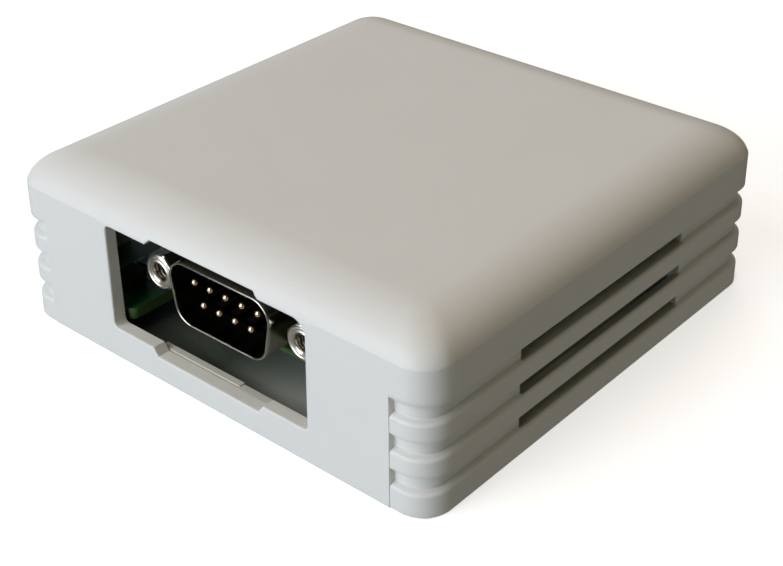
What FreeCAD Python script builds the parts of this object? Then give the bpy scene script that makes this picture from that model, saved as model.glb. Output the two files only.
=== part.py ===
import FreeCAD, Part
import math
import os

import Sketcher

# The room temperature sensor: a small square moulded case with a serial plug
# in its front, a circuit board inside and vents in both sides.
# Origin: middle of the underside. +Z is up and the plug faces -Y. Millimetres.

doc = FreeCAD.newDocument("TemperatureSensor")
sheet = doc.addObject("Spreadsheet::Sheet", "sizes")
XY, XZ, YZ = "XY_Plane", "XZ_Plane", "YZ_Plane"


# Sizes with their sheet expressions


class Size:
    """A length: its number now, and the sheet expression that gives it."""

    def __init__(self, value, text):
        self.value = value
        self.text = text

    def joined(self, sign, value, other):
        return Size(value, f"({self.text} {sign} {other.text})")

    def __add__(self, other):
        other = as_size(other)
        return self.joined("+", self.value + other.value, other)

    def __sub__(self, other):
        other = as_size(other)
        return self.joined("-", self.value - other.value, other)

    def __mul__(self, other):
        other = as_size(other)
        return self.joined("*", self.value * other.value, other)

    def __truediv__(self, other):
        other = as_size(other)
        return self.joined("/", self.value / other.value, other)

    def __neg__(self):
        return Size(-self.value, f"(0 - {self.text})")

    def __rmul__(self, other):
        return as_size(other) * self

    def __radd__(self, other):
        return as_size(other) + self

    def __rsub__(self, other):
        return as_size(other) - self


def as_size(number):
    """A plain number as a Size."""
    return number if isinstance(number, Size) else Size(float(number), repr(float(number)))


def driving(row, alias, value):
    """Writes one driving dimension into the sheet and returns it as a Size."""
    sheet.set(f"A{row}", alias)
    sheet.set(f"B{row}", str(value))
    sheet.setAlias(f"B{row}", alias)
    return Size(float(value), f"sizes.{alias}")


def bind(item, prop, size):
    """Ties a property to the sheet; a plain number is set as it is."""
    if isinstance(size, Size):
        item.setExpression(prop, size.text)
    else:
        item.setExpression(prop, repr(float(size)))


# Driving dimensions

DIMENSIONS = {
    # Case
    "case_width": 71.0,
    "case_height": 24.0,
    "corner_radius": 4.2,
    "wall_lean": 0.016,
    "front_wall": 1.65,
    "side_wall": 2.6,
    "roof_wall": 1.8,
    "rim_gap": 0.1,
    "edge_run": 7.5,
    "edge_rise": 4.5,
    "top_corner_radius": 1.0,
    "inner_corner_radius": 3.6,
    "inner_edge_radius": 3.0,
    "panel_width": 59.6,
    "rib_setback": 0.2,
    "groove_first": 3.4,
    "groove_pitch": 4.8,
    "groove_height": 2.2,
    "groove_depth": 1.1,
    "vent_length": 35.0,
    # Window round the plug
    "window_width": 34.2,
    "window_low": 4.6,
    "window_high": 19.6,
    "window_radius": 0.8,
    "window_wide_radius": 2.0,
    "relief_width": 19.4,
    "relief_step": 0.8,
    "relief_drop": 1.1,
    # Base
    "base_thickness": 2.0,
    "base_gap": 0.25,
    "tongue_width": 14.0,
    "tongue_centre": -3.4,
    "tongue_thickness": 0.9,
    "tongue_top": 3.65,
    "hook_width": 6.0,
    "hook_thickness": 1.0,
    "hook_height": 6.2,
    "hook_nose": 0.2,
    "hook_place": 25.0,
    "catch_depth": 0.3,
    "catch_gap": 0.2,
    "catch_height": 1.2,
    "seat_width": 1.4,
    "seat_reach": 1.2,
    "seat_place": 20.2,
    "seat_gap": 0.05,
    "seat_height": 9.0,
    "wall_slot_spacing": 40.0,
    "wall_slot_length": 8.0,
    "wall_slot_width": 4.0,
    # Board
    "board_top": 6.1,
    "board_thickness": 1.6,
    "board_gap": 2.2,
    "board_front_gap": 0.75,
    "board_back_gap": 3.4,
    "board_corner": 1.0,
    "bay_width": 33.0,
    "bay_depth": 7.5,
    "post_radius": 3.0,
    "post_inset": 4.3,
    "post_bay_gap": 12.3,
    "screw_radius": 1.1,
    "screw_gap": 0.15,
    "screw_head_radius": 2.1,
    "screw_head_height": 1.5,
    "screw_length": 4.6,
    "screw_recess_radius": 0.9,
    "screw_recess_width": 0.45,
    # Plug
    "plug_height": 6.2,
    "plug_offset": -0.35,
    "shell_width": 16.18,
    "shell_height": 8.36,
    "shell_slope": 0.1763,
    "shell_radius": 2.4,
    "shell_wall": 0.4,
    "shell_reach": 6.1,
    "plate_width": 30.8,
    "plate_height": 12.3,
    "plate_radius": 1.0,
    "plate_thickness": 0.8,
    "plate_gap": 0.1,
    "pin_pitch": 2.77,
    "pin_row_pitch": 2.84,
    "pin_radius": 0.5,
    "pin_tip_inset": 1.0,
    "pin_bore_gap": 0.05,
    "pin_bend_radius": 1.1,
    "pin_tail_reach": 1.2,
    "insulator_front": 1.0,
    "insulator_depth": 4.6,
    "insulator_margin": 1.2,
    "jack_spacing": 24.99,
    "jack_across_flats": 4.76,
    "jack_length": 4.0,
    "jack_face_radius": 2.2,
    "jack_washer": 0.6,
    "jack_stud_radius": 1.4,
    "jack_stud_length": 5.6,
    "jack_bore_radius": 1.15,
    "jack_bore_depth": 3.6,
    "nut_across_flats": 4.76,
    "nut_thickness": 2.2,
    "bracket_width": 5.2,
    "bracket_thickness": 0.8,
    "bracket_foot": 8.0,
    "lock_radius": 1.4,
    "lock_head_radius": 2.1,
    "lock_gap": 0.1,
    "lock_reach": 1.3,
    "lock_place": 4.8,
    "lock_slit": 0.6,
    # Electronics
    "layout_grid": 1.0,
    "solder_gap": 0.05,
    "lead_thickness": 0.21,
    "chip_body_width": 7.5,
    "chip_body_height": 2.3,
    "chip_lead_pitch": 1.27,
    "chip_lead_width": 0.42,
    "chip_lead_reach": 1.4,
    "chip_standoff": 0.2,
    "controller_length": 12.8,
    "driver_length": 10.3,
    "small_chip_length": 2.0,
    "small_chip_width": 1.25,
    "small_chip_cap": 0.35,
    "resistor_height": 0.5,
    "capacitor_height": 0.95,
    "diode_length": 4.2,
    "diode_width": 2.6,
    "diode_height": 2.1,
    "diode_lead_width": 1.4,
    "diode_lead_reach": 0.6,
    "can_radius": 2.5,
    "can_height": 11.0,
    "can_seal": 0.6,
    "crystal_length": 11.3,
    "crystal_width": 4.6,
    "crystal_height": 3.4,
    "crystal_radius": 2.0,
    "crystal_foot": 0.5,
    "regulator_length": 6.5,
    "regulator_width": 3.5,
    "regulator_height": 1.6,
    "regulator_lead_width": 0.7,
    "regulator_lead_pitch": 2.3,
    "element_radius": 2.3,
    "element_flat": 1.3,
    "element_height": 4.6,
    "element_lift": 4.0,
    "element_lead": 0.45,
}
size = {name: driving(k + 1, name, value) for k, (name, value) in enumerate(DIMENSIONS.items())}


# Drawing helpers


def tie(sketch, kind, geometry, place):
    """Holds a geometry's first point at a distance from the sketch's origin."""
    place = as_size(place)
    if abs(place.value) < 1e-9:
        axis = -2 if kind == "DistanceX" else -1
        sketch.addConstraint(Sketcher.Constraint("PointOnObject", geometry, 1, axis))
        return
    ends = (-1, 1, geometry, 1) if place.value > 0 else (geometry, 1, -1, 1)
    distance = place if place.value > 0 else -place
    index = sketch.addConstraint(Sketcher.Constraint(kind, *ends, distance.value))
    sketch.setExpression(f"Constraints[{index}]", distance.text)


def new_sketch(body, name, role, offset=0.0):
    """An empty sketch on one of the body's own origin planes, moved along its normal."""
    plane = next(item for item in body.Origin.OriginFeatures if item.Role == role)
    sketch = body.newObject("Sketcher::SketchObject", name)
    sketch.AttachmentSupport = [(plane, "")]
    sketch.MapMode = "FlatFace"
    offset = as_size(offset)
    sketch.AttachmentOffset = FreeCAD.Placement(
        FreeCAD.Vector(0, 0, offset.value), FreeCAD.Rotation()
    )
    bind(sketch, "AttachmentOffset.Base.z", offset)
    return sketch


def corner_arc(before, corner, after, radius):
    """The tangent points and centre of the arc that rounds a corner, and if it turns left."""
    back = (before - corner).normalize()
    ahead = (after - corner).normalize()
    half = math.acos(max(-1.0, min(1.0, back.dot(ahead)))) / 2
    reach = radius / math.tan(half)
    centre = corner + (back + ahead).normalize() * (radius / math.sin(half))
    left = back.cross(ahead).z < 0
    return corner + back * reach, corner + ahead * reach, centre, left


def outline(sketch, corners, closed=True):
    """Draws straight runs between corners (x, y, radius), rounded where the radius isn't 0."""
    count = len(corners)
    points = [
        FreeCAD.Vector(as_size(x).value, as_size(y).value, 0) for x, y, radius in corners
    ]
    runs = count if closed else count - 1
    guides = []
    for k in range(runs):
        line = Part.LineSegment(points[k], points[(k + 1) % count])
        guides.append(sketch.addGeometry(line, True))
    for k in range(runs):
        if k > 0:
            sketch.addConstraint(Sketcher.Constraint("Coincident", guides[k - 1], 2, guides[k], 1))
        tie(sketch, "DistanceX", guides[k], corners[k][0])
        tie(sketch, "DistanceY", guides[k], corners[k][1])
    if closed:
        sketch.addConstraint(Sketcher.Constraint("Coincident", guides[-1], 2, guides[0], 1))
    else:
        tie_end(sketch, guides[-1], corners[-1])
    arcs, starts, ends = {}, list(points), list(points)
    for k in range(count):
        radius = as_size(corners[k][2])
        if radius.value == 0:
            continue
        before, after = points[k - 1], points[(k + 1) % count]
        first, last, centre, left = corner_arc(before, points[k], after, radius.value)
        circle = Part.Circle(centre, FreeCAD.Vector(0, 0, 1), radius.value)
        low, high = (first, last) if left else (last, first)
        start, stop = (math.atan2(p.y - centre.y, p.x - centre.x) for p in (low, high))
        arc = sketch.addGeometry(Part.ArcOfCircle(circle, start, stop), False)
        arcs[k] = (arc, (1, 2) if left else (2, 1))
        ends[k], starts[k] = first, last
        index = sketch.addConstraint(Sketcher.Constraint("Radius", arc, radius.value))
        sketch.setExpression(f"Constraints[{index}]", radius.text)
    for k in range(runs):
        after = (k + 1) % count
        run = sketch.addGeometry(Part.LineSegment(starts[k], ends[after]), False)
        for corner, end in ((k, 1), (after, 2)):
            if corner in arcs:
                arc, sides = arcs[corner]
                side = sides[1] if end == 1 else sides[0]
                sketch.addConstraint(Sketcher.Constraint("PointOnObject", run, end, guides[k]))
                sketch.addConstraint(Sketcher.Constraint("Tangent", run, end, arc, side))
            else:
                sketch.addConstraint(Sketcher.Constraint("Coincident", run, end, guides[k], end))


def tie_end(sketch, guide, corner):
    """Holds the last point of an open path."""
    for kind, place in (("DistanceX", as_size(corner[0])), ("DistanceY", as_size(corner[1]))):
        forward = place.value > 0
        ends = (-1, 1, guide, 2) if forward else (guide, 2, -1, 1)
        distance = place if forward else -place
        index = sketch.addConstraint(Sketcher.Constraint(kind, *ends, distance.value))
        sketch.setExpression(f"Constraints[{index}]", distance.text)


def block_outline(sketch, low_x, high_x, low_y, high_y, radius=0):
    """A rectangle between four places, with one corner radius."""
    places = [(low_x, low_y), (high_x, low_y), (high_x, high_y), (low_x, high_y)]
    outline(sketch, [(x, y, radius) for x, y in places])


def new_body(label):
    """An empty body; its label is the node's name."""
    body = doc.addObject("PartDesign::Body", "body_" + label)
    body.Label = label
    return body


def pull(body, kind, name, sketch, length, reverse=False):
    """A Pad or Pocket of a stated length."""
    feature = body.newObject("PartDesign::" + kind, name)
    feature.Profile = sketch
    feature.Reversed = reverse
    bind(feature, "Length", length)
    return feature


def loft(body, name, sketches, ruled):
    """Adds a loft through sketches that lie one above the other."""
    feature = body.newObject("PartDesign::AdditiveLoft", name)
    feature.Profile = sketches[0]
    feature.Sections = sketches[1:]
    feature.Ruled = ruled
    return feature


def place(item, x, y, z, turn=FreeCAD.Rotation()):
    """Puts an object at sheet-driven coordinates, with a fixed turn."""
    item.Placement = FreeCAD.Placement(FreeCAD.Vector(0, 0, 0), turn)
    for letter, value in zip("xyz", (x, y, z)):
        bind(item, f"Placement.Base.{letter}", value)


def body_block(body, name, kind, low, high):
    """Adds or cuts a box between two corners of a body."""
    item = body.newObject(f"PartDesign::{kind}Box", name)
    place(item, *low)
    for prop, a, b in zip(("Length", "Width", "Height"), low, high):
        bind(item, prop, as_size(b) - a)
    return item


def body_cylinder(body, name, kind, x, y, z, radius, height):
    """Adds or cuts an upright cylinder of a body."""
    item = body.newObject(f"PartDesign::{kind}Cylinder", name)
    place(item, x, y, z)
    bind(item, "Radius", radius)
    bind(item, "Height", height)
    return item


def box(name, low, high):
    """A free box between two corners."""
    item = doc.addObject("Part::Box", name)
    place(item, *low)
    for prop, a, b in zip(("Length", "Width", "Height"), low, high):
        bind(item, prop, as_size(b) - a)
    return item


def cylinder(name, x, y, z, radius, height, turn=FreeCAD.Rotation()):
    """A free cylinder from a point, upright unless it is turned."""
    item = doc.addObject("Part::Cylinder", name)
    place(item, x, y, z, turn)
    bind(item, "Radius", radius)
    bind(item, "Height", height)
    return item


def prism(name, x, y, z, circumradius, height, turn):
    """A free hexagonal prism from a point."""
    item = doc.addObject("Part::Prism", name)
    item.Polygon = 6
    place(item, x, y, z, turn)
    bind(item, "Circumradius", circumradius)
    bind(item, "Height", height)
    return item


def fused(name, items):
    """Several touching shapes as one solid."""
    item = doc.addObject("Part::MultiFuse", name)
    item.Shapes = items
    return item


def cut(name, base, tool):
    """A shape with another one cut away."""
    item = doc.addObject("Part::Cut", name)
    item.Base = base
    item.Tool = tool
    return item


def group(label, items):
    """Separate like solids under one node's name."""
    item = doc.addObject("Part::Compound", "group_" + label)
    item.Links = items
    item.Label = label
    return item


nodes = []
overcut = 1.0
forward_turn = FreeCAD.Rotation(FreeCAD.Vector(1, 0, 0), -90)
outward_turn = FreeCAD.Rotation(FreeCAD.Vector(1, 0, 0), 90)

# Levels and half widths that several pieces share

half_case = size["case_width"] / 2
shoulder = size["case_height"] - size["edge_rise"]
rib_top = size["groove_first"] + 2 * size["groove_pitch"] + size["groove_height"]
cavity_top = size["case_height"] - size["roof_wall"]
half_panel = size["panel_width"] / 2
rim = size["rim_gap"]


def half_at(level):
    """Half the case's width at a height: the walls lean in a little towards the top."""
    return half_case - size["wall_lean"] * level


cavity_x = half_at(shoulder) - size["side_wall"]
cavity_y = half_at(shoulder) - size["front_wall"]


# Cover: one moulded shell with ribbed corners and sides


def square_section(body, name, level, half, radius):
    """A rounded square of the cover at one height."""
    sketch = new_sketch(body, name, XY, level)
    block_outline(sketch, -half, half, -half, half, radius)
    return sketch


def make_cover():
    body = new_body("cover")
    setback = size["rib_setback"]
    rib_radius = size["corner_radius"] - setback
    levels = (rim, rib_top)
    sections = [
        square_section(body, f"rib_core_{k}", level, half_at(level) - setback, rib_radius)
        for k, level in enumerate(levels)
    ]
    loft(body, "rib_core", sections, True)
    add_grooves(body)
    sections = [
        square_section(body, f"collar_{k}", level, half_at(level), size["corner_radius"])
        for k, level in enumerate((rib_top, shoulder))
    ]
    loft(body, "collar", sections, True)
    add_rounded_top(body)
    add_panels(body)
    add_cavity(body)
    add_vents(body)
    add_window(body)
    add_cover_fittings(body)
    return body


def add_grooves(body):
    """Three grooves round each side, from panel edge to panel edge: flat floor, sloping roof."""
    over = size["rib_setback"] * 4
    for side in (-1, 1):
        for k in range(3):
            floor = size["groove_first"] + k * size["groove_pitch"]
            face = half_at(floor) - size["rib_setback"]
            name = f"groove_{'left' if side < 0 else 'right'}_{k}"
            path = new_sketch(body, name + "_path", XY, floor)
            radius = size["corner_radius"] - size["rib_setback"]
            corners = [
                (side * half_panel, -face, 0),
                (side * face, -face, radius),
                (side * face, face, radius),
                (side * half_panel, face, 0),
            ]
            outline(path, corners, closed=False)
            profile = new_sketch(body, name + "_profile", YZ, side * half_panel)
            depth = size["groove_depth"]
            top = floor + size["groove_height"]
            outer, inner = -face - over, -face + depth
            section = [
                (outer, floor, 0),
                (inner, floor, 0),
                (inner, top - depth, 0),
                (-face, top, 0),
                (outer, top, 0),
            ]
            outline(profile, section)
            groove = body.newObject("PartDesign::SubtractivePipe", name)
            groove.Profile = profile
            groove.Spine = (path, [])


def add_rounded_top(body):
    """The top rounds over on a quarter ellipse: a loft through squares that shrink as they rise."""
    steps = 6
    base = half_at(shoulder)
    shrink = size["corner_radius"] - size["top_corner_radius"]
    sections = []
    for k in range(steps + 1):
        turn = math.radians(90 * k / steps)
        share = 1 - math.cos(turn)
        level = shoulder + size["edge_rise"] * math.sin(turn)
        half = base - size["edge_run"] * share
        radius = size["corner_radius"] - shrink * share
        sections.append(square_section(body, f"dome_{k}", level, half, radius))
    loft(body, "dome", sections, False)


def add_panels(body):
    """The flat front and back stand proud of the ribs up to the collar."""
    thick = size["front_wall"]
    for side, name in ((-1, "front_panel"), (1, "back_panel")):
        sketch = new_sketch(body, name + "_sketch", YZ, -half_panel)
        low, high = side * half_at(rim), side * half_at(rib_top)
        corners = [
            (low, rim, 0),
            (high, rib_top, 0),
            (high - side * thick, rib_top, 0),
            (high - side * thick, rim, 0),
        ]
        outline(sketch, corners)
        pull(body, "Pad", name, sketch, size["panel_width"])


def add_cavity(body):
    """The hollow inside, open below, with its upper edge rounded."""
    sketch = new_sketch(body, "cavity_sketch", XY, rim)
    radius = size["inner_corner_radius"]
    block_outline(sketch, -cavity_x, cavity_x, -cavity_y, cavity_y, radius)
    pocket = pull(body, "Pocket", "cavity", sketch, cavity_top - rim, reverse=True)
    doc.recompute()
    edges = [
        f"Edge{k + 1}"
        for k, edge in enumerate(pocket.Shape.Edges)
        if abs(edge.BoundBox.ZMin - cavity_top.value) < 1e-4
        and abs(edge.BoundBox.ZMax - cavity_top.value) < 1e-4
    ]
    fillet = body.newObject("PartDesign::Fillet", "cavity_edge")
    fillet.Base = (pocket, edges)
    bind(fillet, "Radius", size["inner_edge_radius"])


def add_vents(body):
    """A long slot through the wall in the middle of every groove."""
    half = size["vent_length"] / 2
    for k in range(3):
        floor = size["groove_first"] + k * size["groove_pitch"]
        for side, name in ((-1, "left"), (1, "right")):
            ends = (side * (cavity_x - overcut), side * (half_case + overcut))
            inner, outer = sorted(ends, key=by_value)
            high = (outer, half, floor + size["groove_height"])
            body_block(body, f"vent_{name}_{k}", "Subtractive", (inner, -half, floor), high)


def add_window(body):
    """The opening for the plug, with a shallow relief above and below its middle."""
    start, depth = half_case + overcut, size["front_wall"] * 2 + overcut
    half = size["window_width"] / 2
    low, high = size["window_low"], size["window_high"]
    sketch = new_sketch(body, "window_sketch", XZ, start)
    corners = [
        (-half, low, size["window_radius"]),
        (half, low, size["window_radius"]),
        (half, high, size["window_wide_radius"]),
        (-half, high, size["window_radius"]),
    ]
    outline(sketch, corners)
    pull(body, "Pocket", "window", sketch, depth)
    wide, step = size["relief_width"] / 2, size["relief_step"]
    drop = size["relief_drop"]
    sketch = new_sketch(body, "relief_sketch", XZ, start)
    corners = [
        (-wide, low, 0),
        (-wide + step, low - drop, 0),
        (wide - step, low - drop, 0),
        (wide, low, 0),
        (wide, high, 0),
        (wide - step, high + step, 0),
        (-wide + step, high + step, 0),
        (-wide, high, 0),
    ]
    outline(sketch, corners)
    pull(body, "Pocket", "relief", sketch, depth)


def add_cover_fittings(body):
    """Ribs that stand on the base, and ridges that the base's hooks hold."""
    base_top = size["base_thickness"]
    foot = base_top + size["seat_gap"]
    ridge = hook_top - size["hook_nose"] * 2 - size["catch_gap"] - size["catch_height"]
    for side_x, name_x in ((-1, "left"), (1, "right")):
        for side_y, name_y in ((-1, "front"), (1, "back")):
            name = f"{name_x}_{name_y}"
            inner = cavity_x - size["seat_reach"]
            ends_x = sorted((side_x * inner, side_x * (cavity_x + overcut / 2)), key=by_value)
            start = side_y * size["seat_place"]
            ends_y = sorted((start, start + side_y * size["seat_width"]), key=by_value)
            low = (ends_x[0], ends_y[0], foot)
            high = (ends_x[1], ends_y[1], foot + size["seat_height"])
            body_block(body, "seat_" + name, "Additive", low, high)
            inner = cavity_x - size["catch_depth"]
            ends_x = sorted((side_x * inner, side_x * (cavity_x + overcut / 2)), key=by_value)
            centre, half = side_y * size["hook_place"], size["hook_width"] / 2
            low = (ends_x[0], centre - half, ridge)
            high = (ends_x[1], centre + half, ridge + size["catch_height"])
            body_block(body, "catch_" + name, "Additive", low, high)


def by_value(place_or_size):
    """Sorts Sizes by their number."""
    return as_size(place_or_size).value


hook_top = size["base_thickness"] + size["hook_height"]
nodes.append(make_cover())


# Base plate: a flat tray that carries the board and clips into the cover

base_x = cavity_x - size["base_gap"]
base_y = cavity_y - size["base_gap"]
board_x = cavity_x - size["board_gap"]
board_low = size["board_top"] - size["board_thickness"]
board_front = -cavity_y + size["board_front_gap"]
board_back = cavity_y - size["board_back_gap"]
bay_back = board_front + size["bay_depth"]
posts = [
    (side * (board_x - size["post_inset"]), along)
    for side in (-1, 1)
    for along in (bay_back + size["post_bay_gap"], board_back - size["post_inset"])
]


def make_base():
    body = new_body("base_plate")
    thick = size["base_thickness"]
    sketch = new_sketch(body, "plate_sketch", XY)
    radius = size["inner_corner_radius"]
    block_outline(sketch, -base_x, base_x, -base_y, base_y, radius)
    pull(body, "Pad", "plate", sketch, thick)
    left = size["tongue_centre"] - size["tongue_width"] / 2
    right = size["tongue_centre"] + size["tongue_width"] / 2
    back = -base_y + size["tongue_thickness"]
    corner = (left, -base_y, thick)
    body_block(body, "tongue", "Additive", corner, (right, back, size["tongue_top"]))
    for k, (x, y) in enumerate(posts):
        height = board_low - thick
        body_cylinder(body, f"post_{k}", "Additive", x, y, thick, size["post_radius"], height)
        depth = board_low - thick / 2
        bore = size["screw_radius"] + size["screw_gap"] / 2
        body_cylinder(body, f"pilot_{k}", "Subtractive", x, y, thick / 2, bore, depth)
    add_hooks(body)
    half_slot = size["wall_slot_width"] / 2
    run = size["wall_slot_length"] / 2 - half_slot
    for side in (-1, 1):
        centre = side * size["wall_slot_spacing"] / 2
        name = "front" if side < 0 else "back"
        low = (-half_slot, centre - run, -overcut)
        high = (half_slot, centre + run, thick + overcut)
        body_block(body, f"wall_slot_{name}", "Subtractive", low, high)
        for end in (-1, 1):
            end_y = centre + end * run
            label = f"wall_slot_{name}_{'a' if end < 0 else 'b'}"
            deep = thick + 2 * overcut
            body_cylinder(body, label, "Subtractive", 0, end_y, -overcut, half_slot, deep)
    return body


def add_hooks(body):
    """Four upright tongues with a small nose that holds the cover's ridge."""
    thick, nose = size["base_thickness"], size["hook_nose"]
    face = cavity_x - size["catch_depth"] - size["catch_gap"] - nose
    half = size["hook_width"] / 2
    for side_x in (-1, 1):
        for side_y in (-1, 1):
            name = f"hook_{'left' if side_x < 0 else 'right'}_{'front' if side_y < 0 else 'back'}"
            centre = side_y * size["hook_place"]
            inner = face - size["hook_thickness"]
            ends = sorted((side_x * inner, side_x * face), key=by_value)
            low = (ends[0], centre - half, thick)
            body_block(body, name, "Additive", low, (ends[1], centre + half, hook_top))
            sketch = new_sketch(body, name + "_nose_sketch", XZ, -(centre + half))
            corners = [
                (side_x * face, hook_top, 0),
                (side_x * face, hook_top - 4 * nose, 0),
                (side_x * (face + nose), hook_top - 2 * nose, 0),
            ]
            outline(sketch, corners)
            pull(body, "Pad", name + "_nose", sketch, size["hook_width"])


nodes.append(make_base())


# Circuit board: glass-fibre board with a bay at the front for the plug

plug_x = size["plug_offset"]
plug_z = size["board_top"] + size["plug_height"]
plate_front = bay_back - size["plate_thickness"] - size["plate_gap"]
rear_plate_back = plate_front + 2 * size["plate_thickness"]
insulator_back = rear_plate_back + size["insulator_depth"]
tail_front = insulator_back + size["pin_bend_radius"] + size["pin_radius"]
jack_places = [
    ("left", plug_x - size["jack_spacing"] / 2),
    ("right", plug_x + size["jack_spacing"] / 2),
]
lock_y = rear_plate_back + size["lock_place"]

pins = []
for k in range(5):
    pins.append((plug_x + (k - 2) * size["pin_pitch"], plug_z + size["pin_row_pitch"] / 2, 1))
for k in range(4):
    pins.append((plug_x + (k - 1.5) * size["pin_pitch"], plug_z - size["pin_row_pitch"] / 2, 0))


def tail_y(row):
    """Where a pin goes down through the board: the upper row's tails stand further back."""
    return tail_front + row * size["pin_row_pitch"]


def make_board():
    body = new_body("circuit_board")
    sketch = new_sketch(body, "board_sketch", XY, board_low)
    half_bay, round_off = size["bay_width"] / 2, size["board_corner"]
    corners = [
        (-board_x, board_front, round_off),
        (-half_bay, board_front, round_off),
        (-half_bay, bay_back, 0),
        (half_bay, bay_back, 0),
        (half_bay, board_front, round_off),
        (board_x, board_front, round_off),
        (board_x, board_back, round_off),
        (-board_x, board_back, round_off),
    ]
    outline(sketch, corners)
    pull(body, "Pad", "board", sketch, size["board_thickness"])
    low, depth = board_low - overcut, size["board_thickness"] + 2 * overcut
    for k, (x, y) in enumerate(posts):
        bore = size["screw_radius"] + size["screw_gap"]
        body_cylinder(body, f"screw_hole_{k}", "Subtractive", x, y, low, bore, depth)
    bore = size["pin_radius"] + size["pin_bore_gap"]
    for k, (x, z, row) in enumerate(pins):
        body_cylinder(body, f"pin_hole_{k}", "Subtractive", x, tail_y(row), low, bore, depth)
    bore = size["lock_radius"] + size["lock_gap"]
    for name, x in jack_places:
        body_cylinder(body, "lock_hole_" + name, "Subtractive", x, lock_y, low, bore, depth)
    return body


nodes.append(make_board())


# Board screws: four pan-head screws with a cross recess


def make_board_screws():
    screws = []
    top, radius = size["board_top"], size["screw_radius"]
    for k, (x, y) in enumerate(posts):
        length = size["screw_length"]
        shank = cylinder(f"shank_{k}", x, y, top - length, radius, length)
        head_radius, height = size["screw_head_radius"], size["screw_head_height"]
        head = cylinder(f"head_{k}", x, y, top, head_radius, height)
        whole = fused(f"screw_{k}", [shank, head])
        reach, half = size["screw_recess_radius"], size["screw_recess_width"] / 2
        deep, high = top + height / 2, top + height + overcut
        across = box(f"recess_x_{k}", (x - reach, y - half, deep), (x + reach, y + half, high))
        along = box(f"recess_y_{k}", (x - half, y - reach, deep), (x + half, y + reach, high))
        screws.append(cut(f"board_screw_{k}", whole, fused(f"recess_{k}", [across, along])))
    return group("board_screws", screws)


nodes.append(make_board_screws())


# Plug: nickel-plated shell with its plate, and the plate behind it


def shell_outline(sketch, margin):
    """The plug's keyed outline, wide side up, grown outwards by a margin."""
    half_height = size["shell_height"] / 2 + margin
    lean = size["shell_slope"] * half_height
    grown = size["shell_width"] / 2 + margin * math.hypot(1, size["shell_slope"].value)
    radius = size["shell_radius"] + margin
    corners = [
        (plug_x - (grown - lean), plug_z - half_height, radius),
        (plug_x + (grown - lean), plug_z - half_height, radius),
        (plug_x + (grown + lean), plug_z + half_height, radius),
        (plug_x - (grown + lean), plug_z + half_height, radius),
    ]
    outline(sketch, corners)


def make_plate(label, front):
    """A plate with rounded corners, bored for the two jack screws."""
    body = new_body(label)
    sketch = new_sketch(body, label + "_plate_sketch", XZ, -(front + size["plate_thickness"]))
    half_x, half_z = size["plate_width"] / 2, size["plate_height"] / 2
    radius = size["plate_radius"]
    low_z, high_z = plug_z - half_z, plug_z + half_z
    block_outline(sketch, plug_x - half_x, plug_x + half_x, low_z, high_z, radius)
    pull(body, "Pad", label + "_plate", sketch, size["plate_thickness"])
    return body


def bore_plate(body, label, front):
    """Cuts the inside of the plug and the jack screws' holes through a plate."""
    start = front - size["shell_reach"] - overcut
    sketch = new_sketch(body, label + "_inside_sketch", XZ, -start)
    shell_outline(sketch, as_size(0))
    depth = size["shell_reach"] + size["plate_thickness"] + 2 * overcut
    pull(body, "Pocket", label + "_inside", sketch, depth)
    for name, x in jack_places:
        hole = body.newObject("PartDesign::SubtractiveCylinder", f"{label}_hole_{name}")
        place(hole, x, front - overcut, plug_z, forward_turn)
        bind(hole, "Radius", size["jack_stud_radius"] + size["lock_gap"])
        bind(hole, "Height", size["plate_thickness"] + 2 * overcut)


def make_shell():
    label = "connector_shell"
    body = make_plate(label, plate_front)
    sketch = new_sketch(body, "shell_sketch", XZ, -plate_front)
    shell_outline(sketch, size["shell_wall"])
    pull(body, "Pad", "shell_rim", sketch, size["shell_reach"])
    bore_plate(body, label, plate_front)
    return body


def make_rear_plate():
    label = "connector_rear_plate"
    front = plate_front + size["plate_thickness"]
    body = make_plate(label, front)
    bore_plate(body, label, front)
    return body


nodes.append(make_shell())
nodes.append(make_rear_plate())


# Insulator: black moulding that holds the nine pins


def make_insulator():
    body = new_body("connector_insulator")
    face = plate_front - size["insulator_front"]
    sketch = new_sketch(body, "insulator_nose_sketch", XZ, -rear_plate_back)
    shell_outline(sketch, -size["plate_gap"])
    pull(body, "Pad", "insulator_nose", sketch, rear_plate_back - face)
    half_x = size["shell_width"] / 2 + size["insulator_margin"]
    half_z = size["shell_height"] / 2 + size["insulator_margin"]
    low = (plug_x - half_x, rear_plate_back, plug_z - half_z)
    high = (plug_x + half_x, insulator_back, plug_z + half_z)
    body_block(body, "insulator_back", "Additive", low, high)
    for k, (x, z, row) in enumerate(pins):
        bore = body.newObject("PartDesign::SubtractiveCylinder", f"pin_bore_{k}")
        place(bore, x, face - overcut, z, forward_turn)
        bind(bore, "Radius", size["pin_radius"] + size["pin_bore_gap"])
        bind(bore, "Height", insulator_back - face + 2 * overcut)
    return body


nodes.append(make_insulator())


# Pins: round wire with a domed tip, bent down behind the insulator into the board


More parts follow.
